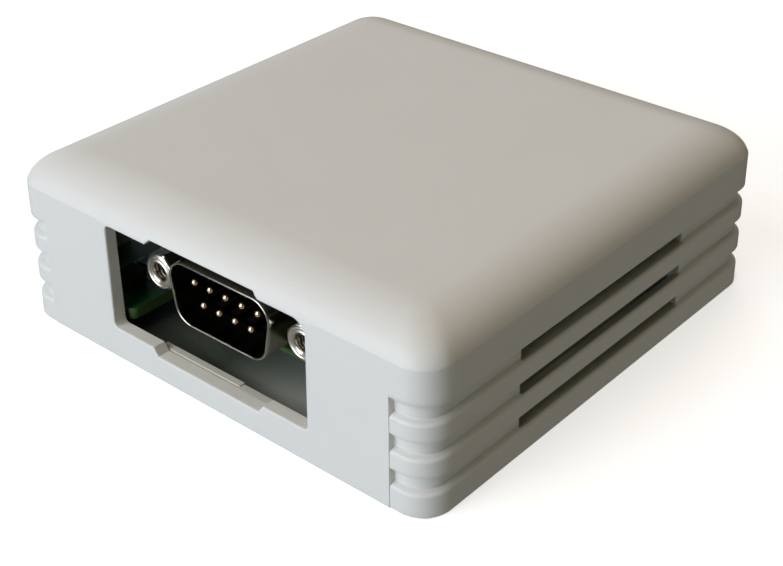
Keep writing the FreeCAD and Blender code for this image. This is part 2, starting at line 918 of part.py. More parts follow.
def make_pin(k, x, z, row):
    radius, bend = size["pin_radius"], size["pin_bend_radius"]
    tip = plate_front - size["shell_reach"] + size["pin_tip_inset"] + radius
    back = tail_y(row) - bend
    straight = cylinder(f"pin_run_{k}", x, tip, z, radius, back - tip, forward_turn)
    dome = doc.addObject("Part::Sphere", f"pin_tip_{k}")
    place(dome, x, tip, z)
    bind(dome, "Radius", radius)
    elbow = doc.addObject("Part::Torus", f"pin_bend_{k}")
    place(elbow, x, back, z - bend, FreeCAD.Rotation(FreeCAD.Vector(0, 1, 0), -90))
    elbow.Angle3 = 90
    bind(elbow, "Radius1", bend)
    bind(elbow, "Radius2", radius)
    low = board_low - size["pin_tail_reach"]
    tail = cylinder(f"pin_tail_{k}", x, tail_y(row), low, radius, z - bend - low)
    return fused(f"pin_{k}", [dome, straight, elbow, tail])


nodes.append(group("connector_pins", [make_pin(k, *pin) for k, pin in enumerate(pins)]))


# Jack screws, their washers and nuts, the brackets and the board locks

hex_to_corner = 2 / math.sqrt(3)
bevel_slope = 1.2
jack_seat = plate_front - size["jack_washer"]


def make_jack_hardware():
    screws, washers, nuts, brackets, locks = [], [], [], [], []
    clear = size["jack_stud_radius"] + size["lock_gap"]
    for (name, x), spin in zip(jack_places, (14, 44)):
        screws.append(make_jack_screw(name, x, spin))
        washers.append(make_washer(name, x, clear))
        nuts.append(make_nut(name, x, spin))
        brackets.append(make_bracket(name, x, clear))
        locks.append(make_lock(name, x))
    nodes.append(group("jack_screws", screws))
    nodes.append(group("jack_washers", washers))
    nodes.append(group("jack_nuts", nuts))
    nodes.append(group("connector_brackets", brackets))
    nodes.append(group("board_locks", locks))


def make_jack_screw(name, x, spin):
    """A six-sided post with a bevelled, tapped face, on a stud through the plates."""
    length, face = size["jack_length"], size["jack_face_radius"]
    corner = size["jack_across_flats"] / 2 * hex_to_corner
    turn = outward_turn * FreeCAD.Rotation(FreeCAD.Vector(0, 0, 1), spin)
    post = prism(f"hex_{name}", x, jack_seat, plug_z, corner, length, turn)
    mouth = jack_seat - length
    bevel = doc.addObject("Part::Cone", f"bevel_{name}")
    place(bevel, x, mouth, plug_z, forward_turn)
    bind(bevel, "Radius1", face)
    bind(bevel, "Radius2", face + length * bevel_slope)
    bind(bevel, "Height", length)
    head = doc.addObject("Part::MultiCommon", f"head_{name}")
    head.Shapes = [post, bevel]
    radius, reach = size["jack_stud_radius"], size["jack_stud_length"]
    stud = cylinder(f"stud_{name}", x, jack_seat, plug_z, radius, reach, forward_turn)
    blank = fused(f"jack_blank_{name}", [head, stud])
    radius, deep = size["jack_bore_radius"], size["jack_bore_depth"] + overcut
    start = mouth - overcut
    bore = cylinder(f"jack_bore_{name}", x, start, plug_z, radius, deep, forward_turn)
    return cut(f"jack_{name}", blank, bore)


def make_washer(name, x, clear):
    """A flat ring under the six-sided post."""
    radius, thick = size["jack_across_flats"] / 2, size["jack_washer"]
    disc = cylinder(f"disc_{name}", x, jack_seat, plug_z, radius, thick, forward_turn)
    start, reach = jack_seat - overcut, thick + 2 * overcut
    hole = cylinder(f"disc_hole_{name}", x, start, plug_z, clear, reach, forward_turn)
    return cut(f"washer_{name}", disc, hole)


def make_nut(name, x, spin):
    """A nut on the stud's end, behind the bracket."""
    front, thick = rear_plate_back + size["bracket_thickness"], size["nut_thickness"]
    corner = size["nut_across_flats"] / 2 * hex_to_corner
    turn = outward_turn * FreeCAD.Rotation(FreeCAD.Vector(0, 0, 1), spin)
    blank = prism(f"nut_blank_{name}", x, front + thick, plug_z, corner, thick, turn)
    radius = size["jack_stud_radius"] + size["pin_bore_gap"]
    start, reach = front - overcut, thick + 2 * overcut
    hole = cylinder(f"nut_hole_{name}", x, start, plug_z, radius, reach, forward_turn)
    return cut(f"nut_{name}", blank, hole)


def make_bracket(name, x, clear):
    """An angle: a leg behind the plates and a foot on the board."""
    thick, half = size["bracket_thickness"], size["bracket_width"] / 2
    back, top = rear_plate_back, size["board_top"]
    high = plug_z + size["plate_height"] / 2
    corner = (x - half, back, top)
    leg = box(f"leg_{name}", corner, (x + half, back + thick, high))
    foot = box(f"foot_{name}", corner, (x + half, back + size["bracket_foot"], top + thick))
    blank = fused(f"bracket_blank_{name}", [leg, foot])
    start, through = back - overcut, thick + 2 * overcut
    leg_hole = cylinder(f"leg_hole_{name}", x, start, plug_z, clear, through, forward_turn)
    radius = size["lock_radius"] + size["lock_gap"]
    foot_hole = cylinder(f"foot_hole_{name}", x, lock_y, top - overcut, radius, through)
    return cut(f"bracket_{name}", blank, fused(f"bracket_holes_{name}", [leg_hole, foot_hole]))


def make_lock(name, x):
    """A split stud that holds the bracket's foot to the board."""
    thick = size["bracket_thickness"]
    top = size["board_top"] + thick
    low = board_low - size["lock_reach"]
    stem = cylinder(f"lock_stem_{name}", x, lock_y, low, size["lock_radius"], top - low)
    head = cylinder(f"lock_head_{name}", x, lock_y, top, size["lock_head_radius"], thick)
    reach, half = size["lock_radius"] + overcut, size["lock_slit"] / 2
    corner = (x - half, lock_y - reach, low - overcut)
    high = board_low + size["board_thickness"] / 2
    slit = box(f"lock_slit_{name}", corner, (x + half, lock_y + reach, high))
    return cut(f"lock_{name}", fused(f"lock_blank_{name}", [stem, head]), slit)


make_jack_hardware()


# Integrated circuits: a black body with bent leads along both long sides

board_top = size["board_top"]
pad = board_top + size["solder_gap"]
leaf = size["lead_thickness"]


def grid(count):
    """A place on the board, in steps of its layout grid from the middle."""
    return size["layout_grid"] * count


def from_left(count):
    """A place in from the board's left edge."""
    return -board_x + grid(count)


def from_right(count):
    """A place in from the board's right edge."""
    return board_x - grid(count)


def from_front(count):
    """A place back from the board's front edge."""
    return board_front + grid(count)


def from_bay(count):
    """A place back from the plug's bay."""
    return bay_back + grid(count)


def from_back(count):
    """A place in from the board's back edge."""
    return board_back - grid(count)


def block(name, x, y, half_x, half_y, low, high):
    """A box given by its middle, its half widths and its two levels."""
    return box(name, (x - half_x, y - half_y, low), (x + half_x, y + half_y, high))


def strip(name, x, half_x, y_ends, low, high):
    """A box between two places along Y, given in either order."""
    start, stop = sorted(y_ends, key=by_value)
    return box(name, (x - half_x, start, low), (x + half_x, stop, high))


def make_chip(label, x, y, length, leads_per_side):
    low = pad + size["chip_standoff"]
    half_y = size["chip_body_width"] / 2
    body = block(label + "_body", x, y, length / 2, half_y, low, low + size["chip_body_height"])
    body.Label = label
    nodes.append(body)
    leads = []
    half_lead, reach = size["chip_lead_width"] / 2, size["chip_lead_reach"]
    middle = low + size["chip_body_height"] / 2
    for k in range(leads_per_side):
        lead_x = x + (k - (leads_per_side - 1) / 2) * size["chip_lead_pitch"]
        for side in (-1, 1):
            name = f"{label}_lead_{k}_{'front' if side < 0 else 'back'}"
            root = y + side * half_y
            bend, tip = root + side * reach / 2, root + side * reach
            inner = bend - side * leaf
            arm = strip(name + "_arm", lead_x, half_lead, (root, bend), middle - leaf, middle)
            drop = strip(name + "_drop", lead_x, half_lead, (inner, bend), pad, middle)
            foot = strip(name + "_foot", lead_x, half_lead, (inner, tip), pad, pad + leaf)
            leads.append(fused(name, [arm, drop, foot]))
    nodes.append(group(label + "_leads", leads))


make_chip("microcontroller", grid(1), grid(11), size["controller_length"], 10)
make_chip("line_driver", grid(1), grid(-4), size["driver_length"], 8)


# Small chips: ceramic blocks with a metal cap at each end, and moulded diodes


def small_chip(name, x, y, along_x, height, caps):
    """One small chip: its body between its two caps."""
    long, wide = size["small_chip_length"] / 2, size["small_chip_width"] / 2
    cap = size["small_chip_cap"]
    top = pad + height

    def piece(label, start, stop):
        low, high = (x + start, y - wide), (x + stop, y + wide)
        if not along_x:
            low, high = (x - wide, y + start), (x + wide, y + stop)
        return box(label, (*low, pad), (*high, top))

    caps.append(piece(name + "_cap_a", -long, -long + cap))
    caps.append(piece(name + "_cap_b", long - cap, long))
    return piece(name + "_body", -long + cap, long - cap)


def make_small_chips(kind, label, places, height, caps):
    """Like chips at places (x, y, along X)."""
    bodies = [
        small_chip(f"{kind}_{k}", x, y, along_x, height, caps)
        for k, (x, y, along_x) in enumerate(places)
    ]
    nodes.append(group(label, bodies))


end_caps = []
capacitor_places = [
    (grid(-11), grid(-3), False),
    (grid(-11), grid(1), False),
    (grid(10), grid(-8), False),
    (grid(10), grid(-4), False),
    (grid(10), grid(0), False),
    (grid(-10), grid(12), False),
    (grid(14), grid(14), True),
    (from_right(6.4), grid(-4), False),
]
resistor_places = [
    (from_left(6.4), from_front(8.8), True),
    (from_left(6.4), from_front(11.8), True),
    (grid(-14), from_back(8.1), True),
    (grid(-10), from_back(8.1), True),
    (grid(-6), from_back(8.1), True),
    (grid(13), from_back(8.1), True),
    (from_right(9.4), from_back(8.1), True),
    (from_right(8.4), from_front(11.8), False),
    (from_right(5.4), from_front(11.8), False),
]
height = size["capacitor_height"]
make_small_chips("capacitor", "ceramic_capacitors", capacitor_places, height, end_caps)
height = size["resistor_height"]
make_small_chips("resistor", "chip_resistors", resistor_places, height, end_caps)
nodes.append(group("chip_end_caps", end_caps))


diode_places = [
    (from_left(8.9), from_front(3.8)),
    (from_left(11.4), from_bay(14.3)),
    (from_right(11.4), from_bay(14.3)),
]


def make_diodes():
    bodies, leads = [], []
    long, wide = size["diode_length"] / 2, size["diode_width"] / 2
    half_lead, reach = size["diode_lead_width"] / 2, size["diode_lead_reach"]
    for k, (x, y) in enumerate(diode_places):
        body = block(f"diode_{k}", x, y, wide, long, pad + leaf, pad + size["diode_height"])
        bodies.append(body)
        for side in (-1, 1):
            name = f"diode_lead_{k}_{'front' if side < 0 else 'back'}"
            ends = (y + side * (long - reach), y + side * (long + reach))
            leads.append(strip(name, x, half_lead, ends, pad, pad + leaf))
    nodes.append(group("diodes", bodies))
    nodes.append(group("diode_leads", leads))


make_diodes()


# Electrolytic capacitors, crystal and voltage regulator


def make_cans():
    cans, seals = [], []
    seal, radius = size["can_seal"], size["can_radius"]
    x = from_left(11.4)
    for k, y in enumerate((grid(-2), grid(5.5))):
        seals.append(cylinder(f"can_seal_{k}", x, y, pad, radius - seal / 2, seal))
        cans.append(cylinder(f"can_{k}", x, y, pad + seal, radius, size["can_height"] - seal))
    nodes.append(group("electrolytic_capacitors", cans))
    nodes.append(group("capacitor_seals", seals))


def make_crystal():
    """A flat-sided can on a slightly wider foot."""
    x, y = from_right(11.4), grid(5)
    foot, radius = size["crystal_foot"], size["crystal_radius"]
    stages = [
        ("crystal_can", pad + foot, size["crystal_height"], as_size(0)),
        ("crystal_base", pad, foot, foot / 2),
    ]
    for label, low, height, margin in stages:
        body = new_body(label)
        sketch = new_sketch(body, label + "_sketch", XY, low)
        wide = size["crystal_width"] / 2 + margin
        long = size["crystal_length"] / 2 + margin
        block_outline(sketch, x - wide, x + wide, y - long, y + long, radius + margin)
        pull(body, "Pad", label + "_pad", sketch, height)
        nodes.append(body)


def make_regulator():
    """A power package: three leads on one side and a heat tab on the other."""
    x, y = from_left(11.4), from_back(12.6)
    long, wide = size["regulator_length"] / 2, size["regulator_width"] / 2
    top = pad + size["regulator_height"]
    body = block("regulator_body", x, y, long, wide, pad + leaf, top)
    body.Label = "voltage_regulator"
    nodes.append(body)
    root, reach = wide / 2, wide + size["chip_lead_reach"]
    leads = [strip("regulator_tab", x, long / 2, (y + root, y + reach), pad, pad + leaf)]
    half = size["regulator_lead_width"] / 2
    for k in range(3):
        lead_x = x + (k - 1) * size["regulator_lead_pitch"]
        ends = (y - reach, y - root)
        leads.append(strip(f"regulator_lead_{k}", lead_x, half, ends, pad, pad + leaf))
    nodes.append(group("regulator_leads", leads))


make_cans()
make_crystal()
make_regulator()


# Sensing element: a small round-backed body on three leads, beside the right-hand vents


def make_element():
    x, y = from_right(4.4), grid(6)
    low, height = board_top + size["element_lift"], size["element_height"]
    radius, flat = size["element_radius"], size["element_flat"]
    round_body = cylinder("element_round", x, y, low, radius, height)
    far = radius + overcut
    corner = (x + flat, y - far, low - overcut)
    face = box("element_face_cut", corner, (x + far, y + far, low + height + overcut))
    body = cut("element_body", round_body, face)
    body.Label = "sensing_element"
    nodes.append(body)
    half = size["element_lead"] / 2
    leads = [
        block(f"element_lead_{k}", x, y + (k - 1) * size["chip_lead_pitch"], half, half, pad, low)
        for k in range(3)
    ]
    nodes.append(group("element_leads", leads))


make_element()


# Check every object and write each node


def write_nodes():
    doc.recompute()
    for item in doc.Objects:
        if "Invalid" in item.State or "Error" in item.State:
            raise RuntimeError(f"{item.Label} failed: {item.State}")
    for node in nodes:
        shape = node.Shape
        if shape.isNull() or not shape.isValid() or not shape.Solids:
            raise RuntimeError(f"{node.Label} has no valid shape")
    os.makedirs("parts", exist_ok=True)
    for node in nodes:
        node.Shape.exportStep(f"parts/{node.Label}.step")
        print(f"{node.Label}: {len(node.Shape.Solids)} solids, {node.Shape.Volume:.1f} mm3")


write_nodes()
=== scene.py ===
import math

import bpy
import numpy as np
from mathutils import Matrix
from mathutils.geometry import delaunay_2d_cdt


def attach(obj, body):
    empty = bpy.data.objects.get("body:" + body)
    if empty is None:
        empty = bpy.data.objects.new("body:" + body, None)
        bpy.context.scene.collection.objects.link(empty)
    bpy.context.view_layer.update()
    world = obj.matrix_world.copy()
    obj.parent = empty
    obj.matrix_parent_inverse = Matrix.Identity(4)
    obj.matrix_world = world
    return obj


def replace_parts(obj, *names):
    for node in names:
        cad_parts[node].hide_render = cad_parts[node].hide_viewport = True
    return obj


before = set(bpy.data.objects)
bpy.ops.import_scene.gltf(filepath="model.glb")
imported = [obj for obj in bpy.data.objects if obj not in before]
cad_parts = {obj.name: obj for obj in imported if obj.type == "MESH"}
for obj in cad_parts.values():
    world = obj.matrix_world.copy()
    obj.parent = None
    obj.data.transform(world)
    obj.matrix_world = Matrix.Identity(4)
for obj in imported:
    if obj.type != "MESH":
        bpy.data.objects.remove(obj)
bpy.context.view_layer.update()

# Cover
# One injection moulding in off-white ABS with a fine matt grain: walls that lean in a little, a faint
# crease, a quarter-elliptical round, three grooves round each side and slightly rounded outer edges.

MM = 0.001
PLUG_X, PLUG_Z = -0.35, 12.3
HALF, LEAN, HEIGHT = 35.5, 0.016, 24.0
SHOULDER, DOME_RUN, DOME_RISE = 19.5, 7.5, 4.5
CREASE_AT, CREASE_TURN, CREASE_SOFT = 20.05, 10.8, 0.08
CORNER, TOP_CORNER = 4.2, 1.0
RIM, FOOT_ROUND, RIBS_TOP = 0.02, 0.12, 15.46
PANEL_HALF, SETBACK = 29.8, 0.1
GROOVE_FLOORS, GROOVE_HIGH, GROOVE_DEEP, LIP_ROUND = (3.4, 8.2, 13.0), 2.2, 0.8, 0.5
LEDGE_RISE, LIP_STEPS, ROOF_ROW = 0.14, 6, 13
SLOT_FALLS, SLOT_FLARE = (1.15, 1.6, 0.95), 1.9
VENT_HALF, LEVEL_END, LEVEL_FADE = 17.5, 20, 2
CAVITY_X, CAVITY_Y = 32.588, 33.538
CAVITY_CORNER, CAVITY_EDGE, CEILING = 3.6, 3.0, 22.2
WINDOW_HALF, WINDOW_LOW, WINDOW_HIGH = 17.1, 4.6, 19.6
WINDOW_CORNER, WIDE_CORNER = 0.8, 2.0
RELIEF_HALF, RELIEF_STEP, RELIEF_DROP, RELIEF_RISE = 9.7, 0.8, 1.1, 0.8
GAP_HALF, GAP_LOW, GAP_HIGH = 18.5, 2.3, 21.4
EDGE_ROUND, EDGE_APRON = 0.22, 0.12
STRAIGHT, STEADY = HALF - CORNER, 20.0
# The four corners' signs, in rows and anticlockwise
QUARTERS = [(-1, -1), (-1, 1), (1, -1), (1, 1)]
AROUND = [(-1, -1), (1, -1), (1, 1), (-1, 1)]


def arc(start, stop, count):
    """Cosines and sines of equally spaced angles in degrees, both ends included."""
    turn = np.radians(np.linspace(start, stop, count))
    return np.cos(turn), np.sin(turn)


def unit(rows):
    """Rows scaled to length one."""
    return rows / np.linalg.norm(rows, axis=1, keepdims=True)


def mirrored(half):
    """Places on both sides of the middle from those on one side, which start at the middle."""
    half = np.array(half, float)
    return np.concatenate([-half[:0:-1], half])


def quads(index, keep=None):
    """Faces between neighbouring rows and columns of an index grid whose last column meets its first."""
    near, far = index[:-1], index[1:]
    cells = np.stack([near, np.roll(near, -1, 1), np.roll(far, -1, 1), far], -1)
    return cells.reshape(-1, 4) if keep is None else cells[keep]


def bridge(first, second):
    """Faces between two closed runs of vertices of the same length."""
    return quads(np.stack([first, second]))


def fan(run, pole, flip=False):
    """Triangles from a closed run of vertices to one pole; flip turns them over."""
    near, far = (np.roll(run, -1), run) if flip else (run, np.roll(run, -1))
    return np.stack([near, far, np.full(len(run), pole)], 1)


def strip_of(floor):
    """Rows (inset, height) of one groove from below: wide rounded lip, ledge that rises slightly inwards,
    upright back wall, flat roof and its soft edge."""
    lip_c, lip_s = arc(0, 90, LIP_STEPS)
    lip = np.stack([SETBACK + LIP_ROUND * (1 - lip_c), floor - LIP_ROUND * (1 - lip_s)], 1)
    deep, ledge, top = SETBACK + GROOVE_DEEP, floor + LEDGE_RISE, floor + GROOVE_HIGH
    rest = [
        (deep - 0.04, ledge), (deep + 0.06, ledge + 0.01), (deep + 0.06, floor + 0.26), (deep, floor + 0.36),
        (deep, floor + GROOVE_HIGH / 2), (deep, top - 0.08), (deep - 0.08, top),
        (SETBACK + 0.2, top), (SETBACK + 0.06, top + 0.05), (SETBACK, top + 0.2),
    ]
    return np.vstack([[(SETBACK, floor - LIP_ROUND - 0.15)], lip, rest])


foot_c, foot_s = arc(0, 90, 5)
foot = np.stack([FOOT_ROUND * (1 - foot_s), RIM + FOOT_ROUND * (1 - foot_c)], 1)
rib_rows = [foot + (SETBACK, 0), [(SETBACK, RIM + 0.5), (SETBACK, 1.8)]]
# A vent opens from its groove's last lip row to the inner edge of the roof
vent_rows = []
count = sum(len(rows) for rows in rib_rows)
for floor in GROOVE_FLOORS:
    rows = strip_of(floor)
    vent_rows.append((count + LIP_STEPS, count + ROOF_ROW))
    rib_rows += [rows, [(SETBACK, floor + GROOVE_HIGH + 0.5)]]
    count += len(rows) + 1
rib_rows = np.vstack(rib_rows[:-1] + [[(0.06, RIBS_TOP - 0.1), (0.0, RIBS_TOP)]])
plain_z = np.linspace(0.6, RIBS_TOP, len(rib_rows) - len(foot))
plain_rows = np.vstack([foot, np.stack([0 * plain_z, plain_z], 1)])
collar_z = np.array([16.0, 17.0, 18.0, 18.7, 19.2])
DOME_STEPS, TOP_STEPS = 26, 9
wall_count = len(rib_rows) + len(collar_z)
top_shares = np.linspace(1, 0.03, TOP_STEPS)[1:]


def level_table():
    """Half width, corner radius and height of the upper rows: a collar on the leaning wall up to just below
    the crease, the crease itself, the rest of a quarter ellipse, then flat rings to the middle."""
    height = np.append(collar_z[:-1], CREASE_AT - CREASE_SOFT)
    collar = np.stack([HALF - LEAN * height, np.full(len(height), CORNER), height], 1)
    cos, sin = arc(CREASE_TURN, 90, DOME_STEPS - 1)
    crease = [[HALF - LEAN * CREASE_AT, CORNER, CREASE_AT]]
    dome = np.stack([
        HALF - LEAN * SHOULDER - DOME_RUN * (1 - cos),
        CORNER - (CORNER - TOP_CORNER) * (1 - cos),
        SHOULDER + DOME_RISE * sin,
    ], 1)
    shrink = top_shares[:, None] * (1, 1, 0) + (0, 0, 1)
    return np.vstack([collar, crease, dome, dome[-1] * shrink])


upper = level_table()

# Places along a front or back wall; at the panel's edges the groove weight steps from 0 to 1
edge_at = np.array([-0.18, -0.06, -0.015, 0, 0, 0.015, 0.06, 0.18]) + PANEL_HALF
edge_weight = np.array([0, 0, 0.03, 0.12, 0.88, 0.97, 1, 1])
front_middle = mirrored([
    0, 2, 4, 6, 7.5, 8.6, 8.9, 9.3, 9.7, 10, 11.5, 13, 14.2, 15,
    15.7, 16.4, 17.1, 17.8, 18.5, 20, 22, 24, 26, 28, 29,
])
front_along = np.concatenate([-edge_at[::-1], front_middle, edge_at])
front_weight = np.concatenate([edge_weight[::-1], 0 * front_middle, edge_weight])
side_along = mirrored([0, 4, 8, 12, 15, 17, 17.5, 18, 20, 23, 26, 28, 29.8, 30.4])
corner_turn = np.linspace(0, 90, 14)

# Column table: which side (0 front, 1 right, 2 back, 3 left), place along it, corner turn, groove weight
columns = []
for side in range(4):
    along, weight = (side_along, 1 + 0 * side_along) if side % 2 else (front_along, front_weight)
    columns += [(side, a, 0, w, 0) for a, w in zip(along, weight)]
    columns += [(side, 1e3, t, 1, 1) for t in corner_turn]
side_no, along_at, corner_at, groove_weight, is_corner = np.array(columns, float).T
across = side_no % 2 == 0
side_ends = np.where(across, front_along[-1], side_along[-1]) + 0.6


def ring(half_x, half_y, radius, even):
    """One closed level, a rounded rectangle. Places near a side's middle stay and the rest stretch to its
    end; an even ring shrinks them all alike."""
    straight = np.where(across, half_x, half_y) - radius
    out = np.where(across, half_y, half_x)
    near = np.minimum(np.abs(along_at), STRAIGHT)
    spread = STEADY + (near - STEADY) * (straight - STEADY) / (STRAIGHT - STEADY)
    place = np.sign(along_at) * np.where(near <= STEADY, near, spread)
    if even:
        place = along_at / side_ends * straight
    turn = np.radians(corner_at)
    along = np.where(is_corner > 0, straight + radius * np.sin(turn), place)
    out = np.where(is_corner > 0, out - radius + radius * np.cos(turn), out)
    face = np.radians(90 * side_no)
    return along * np.cos(face) + out * np.sin(face), along * np.sin(face) - out * np.cos(face)


def stacked(levels):
    """Grid of points from levels (half_x, half_y, radius, height, even)."""
    rows = []
    for half_x, half_y, radius, height, even in levels:
        x, y = ring(half_x, half_y, radius, even)
        rows.append(np.stack([x, y, np.broadcast_to(height, x.shape)], -1))
    return np.array(rows)


def outer_skin():
    """Each row is a level, each column a place round the case; grooves fade to nothing at the panels."""
    rows = plain_rows[:, None] * (1 - groove_weight[:, None]) + rib_rows[:, None] * groove_weight[:, None]
    inset, z = rows[..., 0], rows[..., 1]
    half = HALF - LEAN * z - inset
    radius = np.maximum(CORNER - inset, 0.5)
    wall = [(h, h, r, height, False) for h, r, height in zip(half, radius, z)]
    return stacked(wall + [(h, h, r, height, height > SHOULDER) for h, r, height in upper])


def inner_skin():
    """The inside of the shell on the same rows and columns. Its rows are level beside the vents, where each
    slot's floor falls inwards and the slot's ends flare apart."""
    marks, values = [0], [RIM]
    for (low, high), floor, fall in zip(vent_rows, GROOVE_FLOORS, SLOT_FALLS):
        marks += [low, high]
        values += [floor - fall, floor + GROOVE_HIGH]
    vent_z = np.interp(np.arange(len(rib_rows)), marks + [len(rib_rows) - 1], values + [plain_rows[-1, 1]])
    beside = ~across & (is_corner == 0)
    share = np.where(beside, np.clip((LEVEL_END - np.abs(along_at)) / LEVEL_FADE, 0, 1), 0)
    z = plain_rows[:, 1:] * (1 - share) + vent_z[:, None] * share
    z[0] = RIM
    low = stacked([(CAVITY_X, CAVITY_Y, CAVITY_CORNER, height, False) for height in z])
    y = low[..., 1]
    flare_from, flare_to = (0, 15, VENT_HALF, 18, 20, 23), (0, 15, VENT_HALF + SLOT_FLARE, 19.7, 20.8, 23)
    low[..., 1] = np.where(beside, np.sign(y) * np.interp(np.abs(y), flare_from, flare_to), y)
    fillet_low = CEILING - CAVITY_EDGE
    levels = [(CAVITY_X, CAVITY_Y, CAVITY_CORNER, height) for height in collar_z]
    for c, s in zip(*arc(0, 90, DOME_STEPS)):
        cut = CAVITY_EDGE * (1 - c)
        height = fillet_low + CAVITY_EDGE * s + 0.002
        levels.append((CAVITY_X - cut, CAVITY_Y - cut, max(CAVITY_CORNER - cut, 0.6), height))
    half_x, half_y, radius, height = levels[-1]
    levels += [(half_x * k, half_y * k, radius * k, height) for k in top_shares]
    return np.concatenate([low, stacked([(*level, level[3] >= fillet_low + 0.01) for level in levels])])


outer = outer_skin()
inner = inner_skin()
rows, cols = outer.shape[:2]
outer_id = np.arange(rows * cols).reshape(rows, cols)
inner_id = outer_id + rows * cols

window_cols = np.flatnonzero((side_no == 0) & (np.abs(along_at) <= GAP_HALF))
front_z = outer[:, window_cols[0], 2]
row_low = int(np.argmin(np.abs(front_z[:wall_count] - GAP_LOW)))
row_high = int(np.argmin(np.abs(front_z[:rows - TOP_STEPS] - GAP_HIGH)))
vents = []
for side in (1, 3):
    cut = np.flatnonzero((side_no == side) & (np.abs(along_at) <= VENT_HALF))
    vents += [(low, high, cut) for low, high in vent_rows]
keep = np.ones((rows - 1, cols), bool)
for low, high, cut in vents + [(row_low, row_high, window_cols)]:
    keep[low:high, cut[0]:cut[-1]] = False


def rim_round(grid, low, high, cut):
    """The vertices round a rectangular gap, anticlockwise from outside, starting at its low first corner."""
    return np.concatenate([
        grid[low, cut[:-1]], grid[low:high, cut[-1]], grid[high, cut[:0:-1]], grid[high:low:-1, cut[0]]
    ])


faces = [quads(outer_id, keep), quads(inner_id, keep)[:, ::-1], bridge(inner_id[0], outer_id[0])]
slot_first = len(np.vstack(faces))
faces += [bridge(rim_round(outer_id, *vent), rim_round(inner_id, *vent)) for vent in vents]
slot_last = len(np.vstack(faces))

# Window outline: matched point by point to the grid's rectangular gap
gap = rim_round(outer_id, row_low, row_high, window_cols)
gap_flat = outer.reshape(-1, 3)[gap][:, [0, 2]]
back_flat = inner.reshape(-1, 3)[gap][:, [0, 2]]


def window_outline(x, z):
    """The window's edge for each gap vertex: upright lines keep x, level lines keep z, the rest goes round
    the corners."""
    right, low, high = x.max(), z.min(), z.max()
    on_low, on_high = np.isclose(z, low), np.isclose(z, high)
    level = on_low | on_high
    near = np.abs(x)
    ramp = np.clip((RELIEF_HALF - near) / RELIEF_STEP, 0, 1)
    edge_x = np.where(level, x, np.sign(x) * WINDOW_HALF)
    edge_z = np.where(on_low, WINDOW_LOW - RELIEF_DROP * ramp, z)
    edge_z = np.where(on_high, WINDOW_HIGH + RELIEF_RISE * ramp, edge_z)
    for sx, sz in QUARTERS:
        radius = WIDE_CORNER if sx > 0 and sz > 0 else WINDOW_CORNER
        centre_x = sx * (WINDOW_HALF - radius)
        centre_z = WINDOW_HIGH - radius if sz > 0 else WINDOW_LOW + radius
        corner_z = high if sz > 0 else low
        limit_x = WINDOW_HALF - radius - 0.1
        here_level = level & (np.sign(x) == sx) & (near > limit_x) & np.isclose(z, corner_z)
        here_side = ~level & (np.sign(x) == sx) & (sz * (z - centre_z) > 0)
        level_share, side_share = (right - near) / (right - limit_x), (z - corner_z) / (corner_z - centre_z)
        for here, share in ((here_level, level_share), (here_side, side_share)):
            turn = np.radians(45 + 45 * share)
            edge_x = np.where(here, centre_x + sx * radius * np.cos(turn), edge_x)
            edge_z = np.where(here, centre_z + sz * radius * np.sin(turn), edge_z)
    return np.stack([edge_x, edge_z], 1)


def front_face(z):
    """How far forward the front face lies at a height: leaning wall, crease, then the quarter ellipse."""
    dome = upper[len(collar_z):-TOP_STEPS + 1]
    return np.interp(z, np.append(0, dome[:, 2]), np.append(HALF, dome[:, 0]))


def inner_face(z):
    """How far forward the inside of the front wall lies at a height."""
    rise = np.clip(z - (CEILING - CAVITY_EDGE), 0, CAVITY_EDGE)
    return CAVITY_Y - (CAVITY_EDGE - np.sqrt(CAVITY_EDGE ** 2 - rise ** 2))


def upright(flat, y):
    """Points from (x, z) rows and their depth."""
    return np.column_stack([flat[:, 0], np.broadcast_to(y, len(flat)), flat[:, 1]])


edge = window_outline(*gap_flat.T)
ahead = unit(np.roll(edge, -1, 0) - np.roll(edge, 1, 0))
away = np.stack([ahead[:, 1], -ahead[:, 0]], 1)
rings = []
for share in (0.35, 0.7, 1.0):
    flat = gap_flat * (1 - share) + (edge + away * (EDGE_ROUND + EDGE_APRON)) * share
    rings.append(upright(flat, -front_face(flat[:, 1])))
for c, s in zip(*arc(0, 90, 5)):
    flat = edge + away * EDGE_ROUND * (1 - s)
    rings.append(upright(flat, -front_face(flat[:, 1]) + EDGE_ROUND * (1 - c)))
reveal_first = slot_last + len(rings) * len(gap)
front, back = -front_face(edge[:, 1]) + EDGE_ROUND, -inner_face(edge[:, 1])
rings += [upright(edge, front + (back - front) * share) for share in (0.12, 0.5, 0.9, 1.0)]
for share in (0.1, 0.55):
    flat = edge * (1 - share) + back_flat * share
    rings.append(upright(flat, -inner_face(flat[:, 1])))
ring_id = 2 * rows * cols + np.arange(len(rings) * len(gap)).reshape(len(rings), len(gap))
faces.append(quads(np.vstack([gap, ring_id, gap + rows * cols])))
reveal_last = len(np.vstack(faces))
poles = [[0, 0, HEIGHT], [0, 0, inner[-1, 0, 2]]]
points = np.vstack([outer.reshape(-1, 3), inner.reshape(-1, 3), *rings, poles])
fans = [fan(outer_id[-1], len(points) - 2), fan(inner_id[-1], len(points) - 1, flip=True)]


